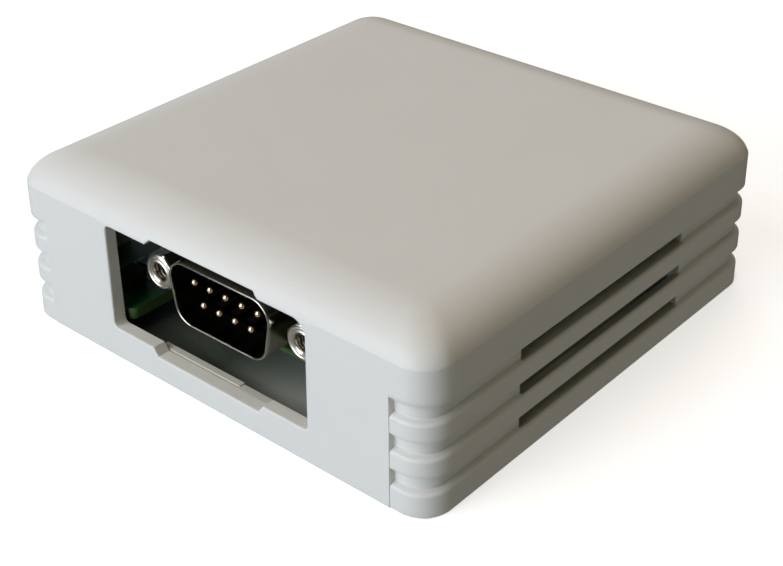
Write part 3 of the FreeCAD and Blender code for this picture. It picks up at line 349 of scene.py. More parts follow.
def piece(name, shapes, body, material, sharp=30):
    """A mesh object from (points, faces) shapes in millimetres, smooth except where faces meet at more than
    the sharp angle."""
    points, faces, total = [], [], 0
    for shape_points, shape_faces in shapes:
        points.append(shape_points)
        faces += [group + total for group in shape_faces]
        total += len(shape_points)
    points = np.vstack(points)
    used = np.unique(np.concatenate([np.ravel(group) for group in faces]))
    number = np.zeros(len(points), int)
    number[used] = np.arange(len(used))
    mesh = bpy.data.meshes.new(name)
    mesh.from_pydata((points[used] * MM).tolist(), [], [f.tolist() for group in faces for f in number[group]])
    mesh.validate()
    mesh.polygons.foreach_set("use_smooth", np.ones(len(mesh.polygons), bool))
    mesh.set_sharp_from_angle(angle=math.radians(sharp))
    mesh.materials.append(material)
    obj = bpy.data.objects.new(name, mesh)
    bpy.context.scene.collection.objects.link(obj)
    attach(obj, body)
    return obj


def feed(socket, value):
    """Links a socket from another node's output or gives it a plain value; a colour gains full opacity."""
    if isinstance(value, bpy.types.NodeSocket):
        socket.id_data.links.new(value, socket)
    else:
        socket.default_value = (*value, 1) if isinstance(value, tuple) else value


def fed(node, **inputs):
    """A shader node with the named inputs fed."""
    for key, value in inputs.items():
        feed(node.inputs[key.replace("_", " ")], value)
    return node


def linked(tree, kind, **inputs):
    """A new shader node with the named inputs fed."""
    return fed(tree.nodes.new(kind), **inputs)


def mixed(share, first, second):
    """A colour between two, by a share."""
    node = share.id_data.nodes.new("ShaderNodeMix")
    node.data_type = "RGBA"
    for socket, value in ((0, share), (6, first), (7, second)):
        feed(node.inputs[socket], value)
    return node.outputs[2]


def mapped(value, low, high, to_low=0, to_high=1):
    """A value taken from one range to another and clamped."""
    ends = {"From_Min": low, "From_Max": high, "To_Min": to_low, "To_Max": to_high}
    return linked(value.id_data, "ShaderNodeMapRange", Value=value, **ends).outputs[0]


def object_place(tree):
    """The object's own coordinates."""
    return tree.nodes.new("ShaderNodeTexCoord").outputs["Object"]


def axes_of(vector):
    """A vector's sockets X, Y and Z."""
    return linked(vector.id_data, "ShaderNodeSeparateXYZ", Vector=vector).outputs


def noise(tree, scale, detail=2.0, roughness=0.5):
    """Noise on the object's own coordinates; scale is in cycles per metre."""
    inputs = {"Vector": object_place(tree), "Scale": scale, "Detail": detail, "Roughness": roughness}
    return linked(tree, "ShaderNodeTexNoise", **inputs).outputs["Fac"]


def cloud(tree, scale):
    """Noise stretched to run from 0 to 1."""
    return mapped(noise(tree, scale, 3), 0.3, 0.7)


def surface(name, **sockets):
    """A new material, its tree and its principled shader, with plain values on the shader's own sockets."""
    material = bpy.data.materials.new(name)
    material.use_nodes = True
    tree = material.node_tree
    return material, tree, fed(tree.nodes["Principled BSDF"], **sockets)


def bumped(shader, height, distance):
    """Gives the shader a bump from a height socket; distance is in metres."""
    bump = linked(shader.id_data, "ShaderNodeBump", Height=height, Distance=distance, Strength=1.0)
    fed(shader, Normal=bump.outputs[0])


def moulded_plastic(name, light, dark, rough, grain=6000, depth=0.000001, specular=0.45):
    """Moulded plastic: a slight colour drift, a fine spark-eroded grain and uneven gloss."""
    material, tree, shader = surface(name, Specular_IOR_Level=specular)
    speck = noise(tree, grain * 0.35)
    colour = mixed(mapped(speck, 0.62, 0.8, 0, 0.25), mixed(cloud(tree, 90), dark, light), dark)
    fed(shader, Base_Color=colour, Roughness=mapped(speck, 0.3, 0.7, rough - 0.05, rough + 0.06))
    bumped(shader, noise(tree, grain, 3, 0.6), depth)
    return material


# The cover's plastic and two painted-light copies of it: the slots' sides tinted dim olive as painted shade
# with green bounce light, and the window's edge painted lighter and warmer as painted light
GRAIN, GRAIN_DEEP = 5200, 0.00003
LIGHT, DARK = (0.787, 0.777, 0.737), (0.773, 0.763, 0.723)
case_finish = moulded_plastic("case_plastic", LIGHT, DARK, 0.52, GRAIN, GRAIN_DEEP)
PAINTED_COPIES = [
    ("slot_painted_bounce", (0.8, 0.77, 0.6), (0.76, 0.73, 0.56), 0.6, GRAIN, GRAIN_DEEP, 0.25),
    ("reveal_painted_light", (0.9, 0.885, 0.79), (0.86, 0.845, 0.75), 0.5, GRAIN, GRAIN_DEEP),
]
shell_faces = [np.vstack(faces), np.vstack(fans)]
cover = piece("cover_shell", [(points, shell_faces)], "cover", case_finish, 40)
for shade in PAINTED_COPIES:
    cover.data.materials.append(moulded_plastic(*shade))
finish_of = np.zeros(len(cover.data.polygons), np.int32)
# Painted light: the slot faces take the olive painted-shade copy, the window's reveal the lighter
# painted-light copy
finish_of[slot_first:slot_last] = 1
finish_of[reveal_first:reveal_last] = 2
cover.data.polygons.foreach_set("material_index", finish_of)
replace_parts(cover, "cover")

# Cover fittings
# Four ribs that rest on the base and four catch ridges for its hooks, moulded in one with the wall.


def blocks(boxes):
    """Closed boxes from corner pairs (low, high): eight points and six outward faces each."""
    boxes = np.asarray(boxes, float)
    pick = np.array([[0, 0, 0], [1, 0, 0], [1, 1, 0], [0, 1, 0], [0, 0, 1], [1, 0, 1], [1, 1, 1], [0, 1, 1]])
    return boxed(np.where(pick[None] == 0, boxes[:, :1], boxes[:, 1:]))


def boxed(corners):
    """Box faces over sets of eight points: four below, anticlockwise from above, and the four over them."""
    order = np.array([[3, 2, 1, 0], [4, 5, 6, 7], [0, 1, 5, 4], [1, 2, 6, 5], [2, 3, 7, 6], [3, 0, 4, 7]])
    return corners.reshape(-1, 3), [(order + 8 * np.arange(len(corners))[:, None, None]).reshape(-1, 4)]


def softened(obj, width):
    """Rounds the edges by a bevel of that width in millimetres, which acts where faces share their points."""
    bevel = obj.modifiers.new("edges", "BEVEL")
    bevel.width = width * MM
    bevel.segments = 2
    bevel.limit_method = "ANGLE"
    bevel.harden_normals = True


# Ribs and ridges: reach inwards from the wall, nearest and farthest place along it, low and high
FITTINGS = ((1.2, 20.2, 21.6, 2.05, 11.05), (0.3, 22.0, 28.0, 6.4, 7.6))
ROOT = 0.6
fittings = []
for sx, sy in QUARTERS:
    for reach, near, far, low, high in FITTINGS:
        xs = sorted((sx * (CAVITY_X - reach), sx * (CAVITY_X + ROOT)))
        ys = sorted((sy * near, sy * far))
        fittings.append([(xs[0], ys[0], low), (xs[1], ys[1], high)])
softened(piece("cover_ribs", [blocks(fittings)], "cover", case_finish), 0.12)

# Base plate
# The same off-white ABS, with posts, hooks, the tongue below the plug and a lower lip beside it.

STEP_LOW, STEP_HIGH = (3.5, -33.42, 1.9), (9.6, -32.42, 3.46)


def dress(nodes, material):
    """Puts one material on the slots of CAD nodes, whose names have spaces between."""
    for node in nodes.split():
        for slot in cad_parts[node].material_slots:
            slot.material = material


base_finish = moulded_plastic("base_plastic", (0.73, 0.7, 0.6), (0.68, 0.65, 0.55), 0.5, 4200, 0.00002)
dress("base_plate", base_finish)
softened(piece("tongue_step", [blocks([[STEP_LOW, STEP_HIGH]])], "base", base_finish), 0.08)

# Insulating sheet
# Thin dark grey-green pressed paper on the base under the board, so that nothing touches a solder joint.

SHEET_X, SHEET_FRONT, SHEET_BACK, SHEET_LOW, SHEET_HIGH = 22.0, -32.2, 28.0, 2.01, 2.16


def pressed_paper():
    """Dark grey-green paper board with a faint fibre and a slight sheen, painted paler towards the right as
    painted light.
    """
    material, tree, shader = surface("pressed_paper", Specular_IOR_Level=0.35)
    fibre = noise(tree, 900, 4, 0.6)
    dark = mixed(mapped(fibre, 0.3, 0.7), (0.072, 0.086, 0.062), (0.092, 0.108, 0.079))
    # Painted light: the paper is mixed towards a pale grey-green from left to right
    painted_light_right = mapped(axes_of(object_place(tree))["X"], -3 * MM, 14 * MM)
    colour = mixed(painted_light_right, dark, (0.54, 0.56, 0.49))
    fed(shader, Base_Color=colour, Roughness=mapped(fibre, 0.3, 0.7, 0.36, 0.5))
    bumped(shader, fibre, 0.000004)
    return material


sheet = blocks([[(-SHEET_X, SHEET_FRONT, SHEET_LOW), (SHEET_X, SHEET_BACK, SHEET_HIGH)]])
piece("insulating_sheet", [sheet], "base", pressed_paper())

# Circuit board
# Glass fibre, 1.6 mm thick, with green solder mask on both sides; the routed edges are bare laminate.


def maths(kind, first, second=0.0):
    """A sum, product or other operation on one or two values."""
    node = first.id_data.nodes.new("ShaderNodeMath")
    node.operation = kind
    feed(node.inputs[0], first)
    feed(node.inputs[1], second)
    return node.outputs[0]


def laminate():
    """Solder mask over faint copper tracks on the faces, bare glass fibre on the edges."""
    material, tree, shader = surface("board_mask", Roughness=0.46, Specular_IOR_Level=0.3)
    normal = tree.nodes.new("ShaderNodeNewGeometry").outputs["Normal"]
    upward = maths("ABSOLUTE", axes_of(normal)["Z"])
    pour = mapped(noise(tree, 260), 0.42, 0.58)
    mask = mixed(pour, (0.014, 0.098, 0.029), (0.018, 0.122, 0.036))
    edge = mixed(noise(tree, 1500), (0.062, 0.116, 0.034), (0.09, 0.154, 0.048))
    fed(shader, Base_Color=mixed(mapped(upward, 0.4, 0.6), edge, mask))
    bumped(shader, pour, 0.00001)
    return material


dress("circuit_board", laminate())

BOARD_TOP, PAD_TOP, TRACK_TOP, INK_TOP = 6.1, 6.144, 6.122, 6.128
TRACK_LOW = 6.06
PIN_PITCH, ROW_GAP, LEAD_PITCH, TAIL_FRONT = 2.77, 2.84, 1.27, -18.388


def bars(segments, width, low, high):
    """Flat bars between pairs of points seen from above, each a closed box turned to its own direction."""
    segments = np.asarray(segments, float)
    start, stop = segments[:, 0], segments[:, 1]
    ahead = unit(stop - start)
    side = np.stack([-ahead[:, 1], ahead[:, 0]], 1) * width / 2
    start, stop = start - ahead * width / 2, stop + ahead * width / 2
    flat = np.stack([start - side, stop - side, stop + side, start + side], 1)
    # Tops differ by a hair, so that no two lie in one plane where bars cross
    tops = high + 0.0006 * (np.arange(len(flat)) % 7)
    return boxed(np.concatenate([
        np.dstack([flat, np.full(flat.shape[:2], low)]), np.dstack([flat, np.repeat(tops[:, None], 4, 1)])
    ], 1))


def capped(grid, first, last):
    """A tube of point rows, closed by fans to a middle point at each end."""
    rows, around = grid.shape[:2]
    index = np.arange(rows * around).reshape(rows, around)
    ends = [fan(index[0], rows * around, flip=True), fan(index[-1], rows * around + 1)]
    return np.vstack([grid.reshape(-1, 3), first, last]), [quads(index), np.vstack(ends)]


def lathed(x, y, profile, around=48):
    """A turned shape about an upright axis from (radius, height) rows, bottom to top."""
    profile = np.asarray(profile, float)
    turn = np.linspace(0, 2 * np.pi, around, endpoint=False)
    radius, level = profile[:, :1], profile[:, 1:]
    grid = np.stack([x + radius * np.cos(turn), y + radius * np.sin(turn), level + 0 * turn], -1)
    return capped(grid, [x, y, profile[0, 1]], [x, y, profile[-1, 1]])


def discs(places, radius, low, high, around=20):
    """Short round plugs."""
    return [lathed(x, y, [(radius, low), (radius, high)], around) for x, y in places]


# Places of the parts on the board; the third number of a capacitor or resistor is 1 where it lies along x
CAPACITORS = [
    (-11, -3, 0), (-11, 1, 0), (10, -8, 0), (10, -4, 0), (10, 0, 0), (-10, 12, 0), (14, 14, 1),
    (23.988, -4, 0),
]
RESISTORS = [
    (-23.988, -23.988, 1), (-23.988, -20.988, 1), (-14, 22.038, 1), (-10, 22.038, 1), (-6, 22.038, 1),
    (13, 22.038, 1), (20.988, 22.038, 1), (21.988, -20.988, 0), (24.988, -20.988, 0),
]
DIODES = [(-21.488, -28.988), (-18.988, -10.988), (18.988, -10.988)]
# Each chip's middle, length and leads to a side; their rows are centred on x = CHIP_X
CHIP_X = 1
CHIPS = [(11, 12.8, 10), (-4, 10.3, 8)]
CANS = [(-18.988, -2), (-18.988, 5.5)]
CRYSTAL, REGULATOR, ELEMENT = (18.988, 5), (-18.988, 17.538), (25.988, 6)


def lead_xs(count):
    """Where the leads of a chip with that many to a side stand."""
    return [CHIP_X + (k - (count - 1) / 2) * LEAD_PITCH for k in range(count)]


chip_pads = []
for y, _, count in CHIPS:
    chip_pads += [[(x, y + side * 4.45), (x, y + side * 5.15)] for x in lead_xs(count) for side in (-1, 1)]
small_pads = []
for x, y, along in CAPACITORS + RESISTORS:
    reach = np.array([1.05, 0]) if along else np.array([0, 1.05])
    across_pad = reach[::-1] * 0.24
    for side in (-1, 1):
        centre = np.array([x, y]) + side * reach
        small_pads.append([centre - across_pad, centre + across_pad])
wide_pads = [[(x - 0.3, y + side * 2.35), (x + 0.3, y + side * 2.35)] for x, y in DIODES for side in (-1, 1)]
regulator_xs = [REGULATOR[0] + (k - 1) * 2.3 for k in range(3)]
regulator_pads = [[(x, 14.6), (x, 15.4)] for x in regulator_xs]
tab_pad = [[(regulator_xs[0], 20.4), (regulator_xs[2], 20.4)]]
# The plug's pins, as (x, row): five in the upper row 1, with their tails further back, and four in row 0
PINS = [(PLUG_X + (k - 2) * PIN_PITCH, 1) for k in range(5)]
PINS += [(PLUG_X + (k - 1.5) * PIN_PITCH, 0) for k in range(4)]
tails = [(x, TAIL_FRONT + row * ROW_GAP) for x, row in PINS]
through = tails + [(ELEMENT[0], ELEMENT[1] + (k - 1) * LEAD_PITCH) for k in range(3)]

# Tracks: from pads by a straight run, a diagonal and another run, to a plated hole
routes, holes = [], []
for lead, (x, y) in zip(lead_xs(8), tails[5:]):
    routes.append([(lead, -9.15), (lead, -10.4), (x, -10.4 - abs(x - lead)), (x, y)])
for x, y in tails[:5]:
    routes.append([(x, y), (x, -14.2), (x + 0.6, -13.6), (x + 0.6, -12.2)])
    holes.append((x + 0.6, -12.2))
for k, lead in enumerate(lead_xs(8)):
    shift = (k - 3.5) * 0.35
    turned = (lead + shift, 2.4 + abs(shift))
    routes.append([(lead, 1.15), (lead, 2.4), turned, (lead + shift, 4.2), (lead + shift * 0.5, 5.85)])
for k, lead in enumerate(lead_xs(10)):
    reach = 17.4 + 0.7 * (k % 3)
    routes.append([(lead, 16.15), (lead, reach)])
    holes.append((lead, reach))
for x, y, along in RESISTORS[2:6]:
    routes.append([(x - 1.05, y), (x - 1.05, y - 1.6), (x - 0.3, y - 2.35)])
    routes.append([(x + 1.05, y), (x + 1.05, y + 2.6), (x + 1.8, y + 3.35)])
    holes += [(x - 0.3, y - 2.35), (x + 1.8, y + 3.35)]
for x, y in CANS:
    routes.append([(x, y), (x + 3.4, y), (x + 4.4, y + 1)])
    holes.append((x + 4.4, y + 1))
routes += [
    [(18.988, 1.5), (15.2, 1.5), (12.6, 4.1), (9.4, 4.1), (7.985, 5.5)],
    [(18.988, 8.6), (14.6, 8.6), (12.4, 6.4), (9.2, 6.4), (6.715, 5)],
    [(25.988, 4.73), (23.4, 4.73), (22.6, 3.93), (22.6, -8), (20.6, -10), (18.988, -10)],
    [(25.988, 6), (23.1, 6), (22.1, 5), (22.1, 13), (18.5, 16.6), (15.05, 16.6), (15.05, 14)],
    [(25.988, 7.27), (24.6, 7.27), (23, 8.87), (23, 19), (22.038, 20), (22.038, 22.038)],
    [(-21.3, 15), (-24.4, 15), (-25.4, 14), (-25.4, -16), (-23, -18.4), (-22.9, -20.988)],
    [(-18.988, 15), (-18.988, 9.4), (-14.6, 5), (-11, 5), (-11, 2.05)],
    [(-16.7, 15), (-13.2, 15), (-11.2, 13.05), (-10, 13.05)],
    [(-10, 10.95), (-10, 9.2), (-8.2, 7.4), (-8.2, 5.9), (-5.985, 5.9)],
    [(10, -9.05), (12.2, -11.2), (12.2, -13)],
    [(-18.988, -13.3), (-16.6, -15.7), (-10.4, -15.7), (-9.2, -14.5), (-9.2, -13.2)],
]
holes += [(12.2, -13), (-9.2, -13.2), (-25.4, 20), (27.6, 14), (27.6, -4), (8, 26.6), (-12, 26.6)]
tracks = [[a, b] for stops in routes for a, b in zip(stops, stops[1:])]
copper = moulded_plastic("masked_copper", (0.04, 0.235, 0.095), (0.032, 0.2, 0.08), 0.4, 5000, 0.000002, 0.4)
piece("board_tracks", [bars(tracks, 0.3, TRACK_LOW, TRACK_TOP)], "base", copper)

# White outlines round the parts, but for three small ones in the shade beside the plug
outlines = []
for y, length, _ in CHIPS:
    left, right = CHIP_X - length / 2 - 0.35, CHIP_X + length / 2 + 0.35
    outlines += [[(left, y + s * 3.3), (left, y + s)] for s in (-1, 1)]
    outlines.append([(right, y - 3.3), (right, y + 3.3)])
framed = [(x, y, 1.95, 1.15) if along else (x, y, 1.15, 1.95) for x, y, along in CAPACITORS + RESISTORS[2:]]
framed += [(x, y, 1.75, 3.3) for x, y in DIODES[1:]] + [(x, y, 2.95, 2.95) for x, y in CANS]
for x, y, half_x, half_y in framed + [(*CRYSTAL, 3.0, 6.3)]:
    corners = [(x + sx * half_x, y + sy * half_y) for sx, sy in AROUND]
    outlines += [[a, b] for a, b in zip(corners, corners[1:] + corners[:1])]
outlines += [[(ELEMENT[0] + shift, 3.2), (ELEMENT[0] + shift, 8.8)] for shift in (-2.7, 1.7)]
ink = moulded_plastic("white_ink", (0.72, 0.73, 0.7), (0.6, 0.62, 0.58), 0.6, specular=0.2)
piece("board_outlines", [bars(outlines, 0.15, TRACK_LOW, INK_TOP)], "base", ink)

# Metal parts
# Bright nickel over steel or brass on the plug, tin on leads and end caps, zinc on the board screws.


def plated(name, light, dark, rough):
    """Plated metal: slightly clouded colour and gloss under a very shallow ripple."""
    material, tree, shader = surface(name, Metallic=1.0)
    share = cloud(tree, 500)
    gloss = mapped(share, 0, 1, rough * 0.85, rough * 1.15)
    fed(shader, Base_Color=mixed(share, dark, light), Roughness=gloss)
    bumped(shader, noise(tree, 2000), 0.0000006)
    return material


# Each metal's name, light and dark colour, roughness and nodes
TINNED = "microcontroller_leads line_driver_leads regulator_leads element_leads crystal_can crystal_base"
METALS = [
    ("nickel_plate", (0.7, 0.67, 0.61), (0.62, 0.59, 0.53), 0.2,
     "connector_rear_plate jack_washers jack_nuts"),
    ("tin_plate", (0.78, 0.78, 0.77), (0.62, 0.62, 0.62), 0.34, TINNED),
    ("dull_tin", (0.26, 0.26, 0.24), (0.19, 0.19, 0.175), 0.46, "chip_end_caps diode_leads"),
    ("zinc_plate", (0.7, 0.71, 0.7), (0.55, 0.56, 0.56), 0.3, "board_screws"),
    ("bracket_plate", (0.3, 0.29, 0.27), (0.24, 0.23, 0.21), 0.42, "connector_brackets"),
    ("lock_brass", (0.62, 0.5, 0.3), (0.52, 0.41, 0.24), 0.3, "board_locks"),
]
for *look, nodes in METALS:
    dress(nodes, plated(*look))
pad_widths = ((chip_pads, 0.62), (small_pads, 1.05), (wide_pads, 1.5), (regulator_pads, 1.1), (tab_pad, 2.2))
pads = [bars(segments, width, TRACK_LOW, PAD_TOP) for segments, width in pad_widths]
pads += discs(through, 0.85, TRACK_LOW, BOARD_TOP + 0.04) + discs(holes, 0.38, TRACK_LOW, BOARD_TOP + 0.035)
piece("board_pads", pads, "base", bpy.data.materials["dull_tin"])
shade = moulded_plastic("hole_shadow", (0.006, 0.01, 0.007), (0.004, 0.007, 0.005), 0.7, specular=0.05)
piece("board_hole_shadows", discs(holes, 0.18, TRACK_LOW, BOARD_TOP + 0.045, 12), "base", shade)


def can_profile():
    """Curled foot, a beaded waist that grips the seal, a straight wall and a rolled top edge."""
    rows = [(2.15, 6.76), (2.42, 6.8), (2.5, 6.95), (2.5, 7.6)]
    rows += [(2.5 - 0.28 * math.sin(math.pi * k / 8), 7.6 + 0.9 * k / 8) for k in range(1, 9)]
    rows += [(2.5, 8.7), (2.5, 16.8)]
    rows += [(2.15 + 0.35 * c, 16.8 + 0.35 * s) for c, s in zip(*arc(0, 90, 6))]
    return rows + [(2.0, 17.14), (1.9, 17.1), (1.0, 17.1)]


def can_finish():
    """Aluminium can in a black sleeve with a paler stripe down one side; the top is bare metal."""
    material, tree, shader = surface("can_sleeve", Specular_IOR_Level=0.5)
    axes = axes_of(object_place(tree))
    bare = mapped(axes["Z"], 16.9 * MM, 16.95 * MM)
    stripe = mapped(axes["X"], -17.15 * MM, -17.1 * MM)
    share = cloud(tree, 600)
    sleeve = mixed(stripe, (0.014, 0.015, 0.018), (0.42, 0.43, 0.44))
    metal = mixed(share, (0.62, 0.62, 0.64), (0.74, 0.74, 0.76))
    gloss = mapped(share, 0, 1, 0.3, 0.38)
    fed(shader, Base_Color=mixed(bare, sleeve, metal), Metallic=bare, Roughness=gloss)
    return material


cans = piece("smooth_cans", [lathed(x, y, can_profile()) for x, y in CANS], "base", can_finish(), 35)
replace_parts(cans, "electrolytic_capacitors")

# Plug shell
# Nickel-plated drawn steel: a keyed rim with a rounded lip, a soft bend at its foot, and a flat flange
# bored for the two jack screws.

FLANGE_FRONT, FLANGE_THICK, SHELL_REACH = -26.188, 0.8, 6.1
FLANGE_HALF_X, FLANGE_HALF_Z, FLANGE_BORE = 15.4, 6.15, 1.5
SHELL_IN, SHELL_OUT, SHELL_BEND = 0.05, 0.36, 0.55
KEY_HALF_X, KEY_HALF_Z, KEY_ROUND, KEY_SLOPE = 8.09, 4.18, 2.4, 0.1763
JACK_OUT = 12.495
JACK_XS = (PLUG_X - JACK_OUT, PLUG_X + JACK_OUT)


def rounded_loop(corners, radii, steps):
    """Anticlockwise outline with each corner replaced by an arc that touches both its sides."""
    corners = np.asarray(corners, float)
    before = unit(np.roll(corners, 1, 0) - corners)
    after = unit(np.roll(corners, -1, 0) - corners)
    half = np.arccos(np.sum(before * after, 1)) / 2
    middle = unit(before + after)
    centre = corners + middle * (radii / np.sin(half))[:, None]
    start = np.arctan2(-middle[:, 1], -middle[:, 0]) - (np.pi / 2 - half)
    turn = start[:, None] + np.linspace(0, 1, steps)[None, :] * (np.pi - 2 * half)[:, None]
    x, z = centre[:, :1] + radii * np.cos(turn), centre[:, 1:] + radii * np.sin(turn)
    return np.stack([x.ravel(), z.ravel()], 1)


def keyed_loop(margin):
    """The plug's keyed outline, wide side up, grown outwards by a margin."""
    high = KEY_HALF_Z + margin
    lean = KEY_SLOPE * high
    wide = KEY_HALF_X + margin * math.hypot(1, KEY_SLOPE)
    corners = [(-(wide - lean), -high), (wide - lean, -high), (wide + lean, high), (-(wide + lean), high)]
    return rounded_loop(corners, KEY_ROUND + margin, 14) + (PLUG_X, PLUG_Z)


def bored_plate(outline, holes):
    """Triangles of a flat plate between an outline and its holes, by a constrained triangulation."""
    loops = [outline, *holes]
    flat = np.vstack(loops)
    start = np.cumsum([0] + [len(loop) for loop in loops])
    rims = [list(range(a, b)) for a, b in zip(start, start[1:])]
    edges = [(rim[k - 1], rim[k]) for rim in rims for k in range(len(rim))]
    found = delaunay_2d_cdt([tuple(p) for p in flat], edges, [], 0, 1e-7)
    tris = np.array([origins[0] for origins in found[3]])[np.array(found[2])]
    middle = flat[tris].mean(1)[:, None]

    def within(loop):
        """Whether each triangle's middle lies in the loop, by the sides that a ray to its right crosses."""
        ahead = np.roll(loop, -1, 0)
        above = (loop[:, 1] > middle[..., 1]) != (ahead[:, 1] > middle[..., 1])
        rise = np.where(above, ahead[:, 1] - loop[:, 1], 1)
        cross = (ahead[:, 0] - loop[:, 0]) * (middle[..., 1] - loop[:, 1]) / rise + loop[:, 0]
        return (above & (middle[..., 0] < cross)).sum(1) % 2 == 1

    inside = within(outline)
    for hole in holes:
        inside &= ~within(hole)
    return flat, tris[inside], rims


def plate(loops, joined, ring_id, y, first, turn=1):
    """A plate with an outer loop and bores, one of them an existing ring of vertices: the points, counted
    from first, the faces and each loop's vertices."""
    flat, tris, rims = bored_plate(loops[0], loops[1:])
    index = np.arange(len(flat)) + first
    index[rims[joined]] = ring_id
    return upright(flat, y), index[tris][:, ::turn], [index[rim] for rim in rims]


def swept(profile):
    """Rows of points from a profile of (margin, y) carried round the keyed outline."""
    return np.array([upright(keyed_loop(margin), y) for margin, y in profile])


def plug_shell():
    """The rim's sheet as one profile swept round the keyed outline, its ends joined to the flange."""
    cos, sin = arc(0, 90, 6)
    bend, lip = SHELL_BEND, (SHELL_OUT - SHELL_IN) / 2
    front, tip = FLANGE_FRONT, FLANGE_FRONT - SHELL_REACH
    foot = [(SHELL_OUT + bend * (1 - s), front - bend * (1 - c)) for c, s in zip(cos, sin)]
    rim = [(SHELL_IN + lip + lip * c, tip + lip - lip * s) for c, s in zip(*arc(0, 180, 9))]
    rim = [(SHELL_OUT, tip + lip + 0.3)] + rim + [(SHELL_IN, tip + lip + 0.3)]
    root = [(SHELL_IN + bend * (1 - c), front + FLANGE_THICK - bend + bend * s) for c, s in zip(cos, sin)]
    grid = swept(foot + rim + root)
    total = grid.shape[0] * grid.shape[1]
    wall_id = np.arange(total).reshape(grid.shape[:2])
    outline = rounded_loop([(sx * FLANGE_HALF_X, sz * FLANGE_HALF_Z) for sx, sz in AROUND], 1.0, 7)
    circle = np.stack(arc(0, 360, 25), 1)[:-1] * FLANGE_BORE
    bores = [circle + (x, PLUG_Z) for x in JACK_XS]
    points, faces, sides = [grid.reshape(-1, 3)], [quads(wall_id)], []
    for y, margin, ring_id, turn in (
        (front, SHELL_OUT + bend, wall_id[0], 1), (front + FLANGE_THICK, SHELL_IN + bend, wall_id[-1], -1)
    ):
        loops = [outline + (PLUG_X, PLUG_Z), keyed_loop(margin), *bores]
        flat, tris, rims = plate(loops, 1, ring_id, y, total, turn)
        points.append(flat)
        faces.append(tris)
        sides.append(rims)
        total += len(flat)
    faces.append(bridge(sides[1][0], sides[0][0]))
    faces += [bridge(sides[0][k], sides[1][k]) for k in (2, 3)]
    return np.vstack(points), faces


def shell_finish():
    """Nickel plate, polished on the drawn rim; painted shade darkens the rim behind its front lip and turns
    the flat flange near-black, where the flange is also rougher.
    """
    material, tree, shader = surface("shell_plate", Metallic=1.0)
    bright = mixed(cloud(tree, 500), (0.56, 0.54, 0.48), (0.64, 0.62, 0.55))
    back = axes_of(object_place(tree))["Y"]
    # Painted shade: brown-grey on the rim behind its lip and near-black on the flange, inside the window's
    # recess
    rough_shaded_flange = mapped(back, -27.0 * MM, -26.3 * MM)
    shaded_rim = mixed(mapped(back, -32.15 * MM, -31.5 * MM), bright, (0.33, 0.3, 0.23))
    colour = mixed(rough_shaded_flange, shaded_rim, (0.075, 0.068, 0.046))
    fed(shader, Base_Color=colour, Roughness=mapped(rough_shaded_flange, 0, 1, 0.15, 0.44))
    return material


shell = piece("plug_shell", [plug_shell()], "base", shell_finish(), 35)
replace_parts(shell, "connector_shell")

# Pins
# Machined brass with a gold flash, five over four, with bullet tips and tails bent down into the board.

PIN_RADIUS, PIN_BEND, PIN_NOSE = 0.5, 1.1, 0.55
PIN_TIP, PIN_FOOT = -31.288, 3.3


def tube(path, radii, around=20):
    """A round bar along a path that stays in one upright plane: circles square to the path."""
    path = np.asarray(path, float)
    ahead = unit(np.gradient(path, axis=0))
    side = np.array([1.0, 0, 0])
    up = np.cross(ahead, side)
    turn = np.linspace(0, 2 * np.pi, around, endpoint=False)
    circle = np.cos(turn)[None, :, None] * side + np.sin(turn)[None, :, None] * up[:, None, :]
    return capped(path[:, None] + circle * np.asarray(radii)[:, None, None], path[0], path[-1])


def row_height(row):
    """Height of a row of pins."""
    return PLUG_Z + (row - 0.5) * ROW_GAP


def pin(x, row):
    """One pin: an elliptical tip, a straight run, a quarter bend and a tail through the board."""
    z, tail = row_height(row), TAIL_FRONT + row * ROW_GAP
    cos, sin = arc(0, 90, 8)
    nose = [(x, PIN_TIP + PIN_NOSE * (1 - c), z) for c in cos[:-1]]
    nose_radii = [0.02, *PIN_RADIUS * sin[1:-1]]
    run = [(x, y, z) for y in (PIN_TIP + PIN_NOSE, -29.0, -24.0, tail - PIN_BEND - 0.05)]
    bend = [(x, tail - PIN_BEND * (1 - s), z - PIN_BEND * (1 - c)) for c, s in zip(cos, sin)]
    foot = [(x, tail, level) for level in (z - PIN_BEND - 0.3, PIN_FOOT + 0.25, PIN_FOOT + 0.1, PIN_FOOT)]
    path = nose + run + bend + foot
    return tube(path, nose_radii + [PIN_RADIUS] * (len(path) - len(nose) - 2) + [0.46, 0.32])


def pin_finish():
    """Gold flash on the tips; further back the pins are painted dark bronze as painted shade inside the plug.
    """
    material, tree, shader = surface("gold_flash", Metallic=1.0)
    share = cloud(tree, 700)
    tip = mixed(share, (0.92, 0.7, 0.42), (1.0, 0.8, 0.52))
    # Painted shade: behind their tips the pins turn dark bronze
    behind = mapped(axes_of(object_place(tree))["Y"], -30.75 * MM, -30.35 * MM)
    colour = mixed(behind, tip, (0.1, 0.07, 0.035))
    fed(shader, Base_Color=colour, Roughness=mapped(share, 0, 1, 0.11, 0.17))
    return material


pins = [pin(x, row) for x, row in PINS]
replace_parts(piece("plug_pins", pins, "base", pin_finish(), 50), "connector_pins")

# Jack screws
# Turned hex posts in nickel-plated brass, tapped for the cable's thumbscrews, with a bevelled, ringed face.

JACK_SEAT, JACK_MOUTH, JACK_SPINS = -26.788, -30.788, (46, 16)
ACROSS_FLATS, FACE_RADIUS, STUD_RADIUS, STUD_REACH = 4.76, 2.2, 1.4, 5.6
BORE_RADIUS, BORE_DEEP, THREAD_PITCH, THREAD_DEEP = 1.15, 3.6, 0.635, 0.22
THREAD_FROM, THREAD_TO, THREAD_FADE, RING_PITCH = 0.42, BORE_DEEP - 0.45, 0.3, 0.24
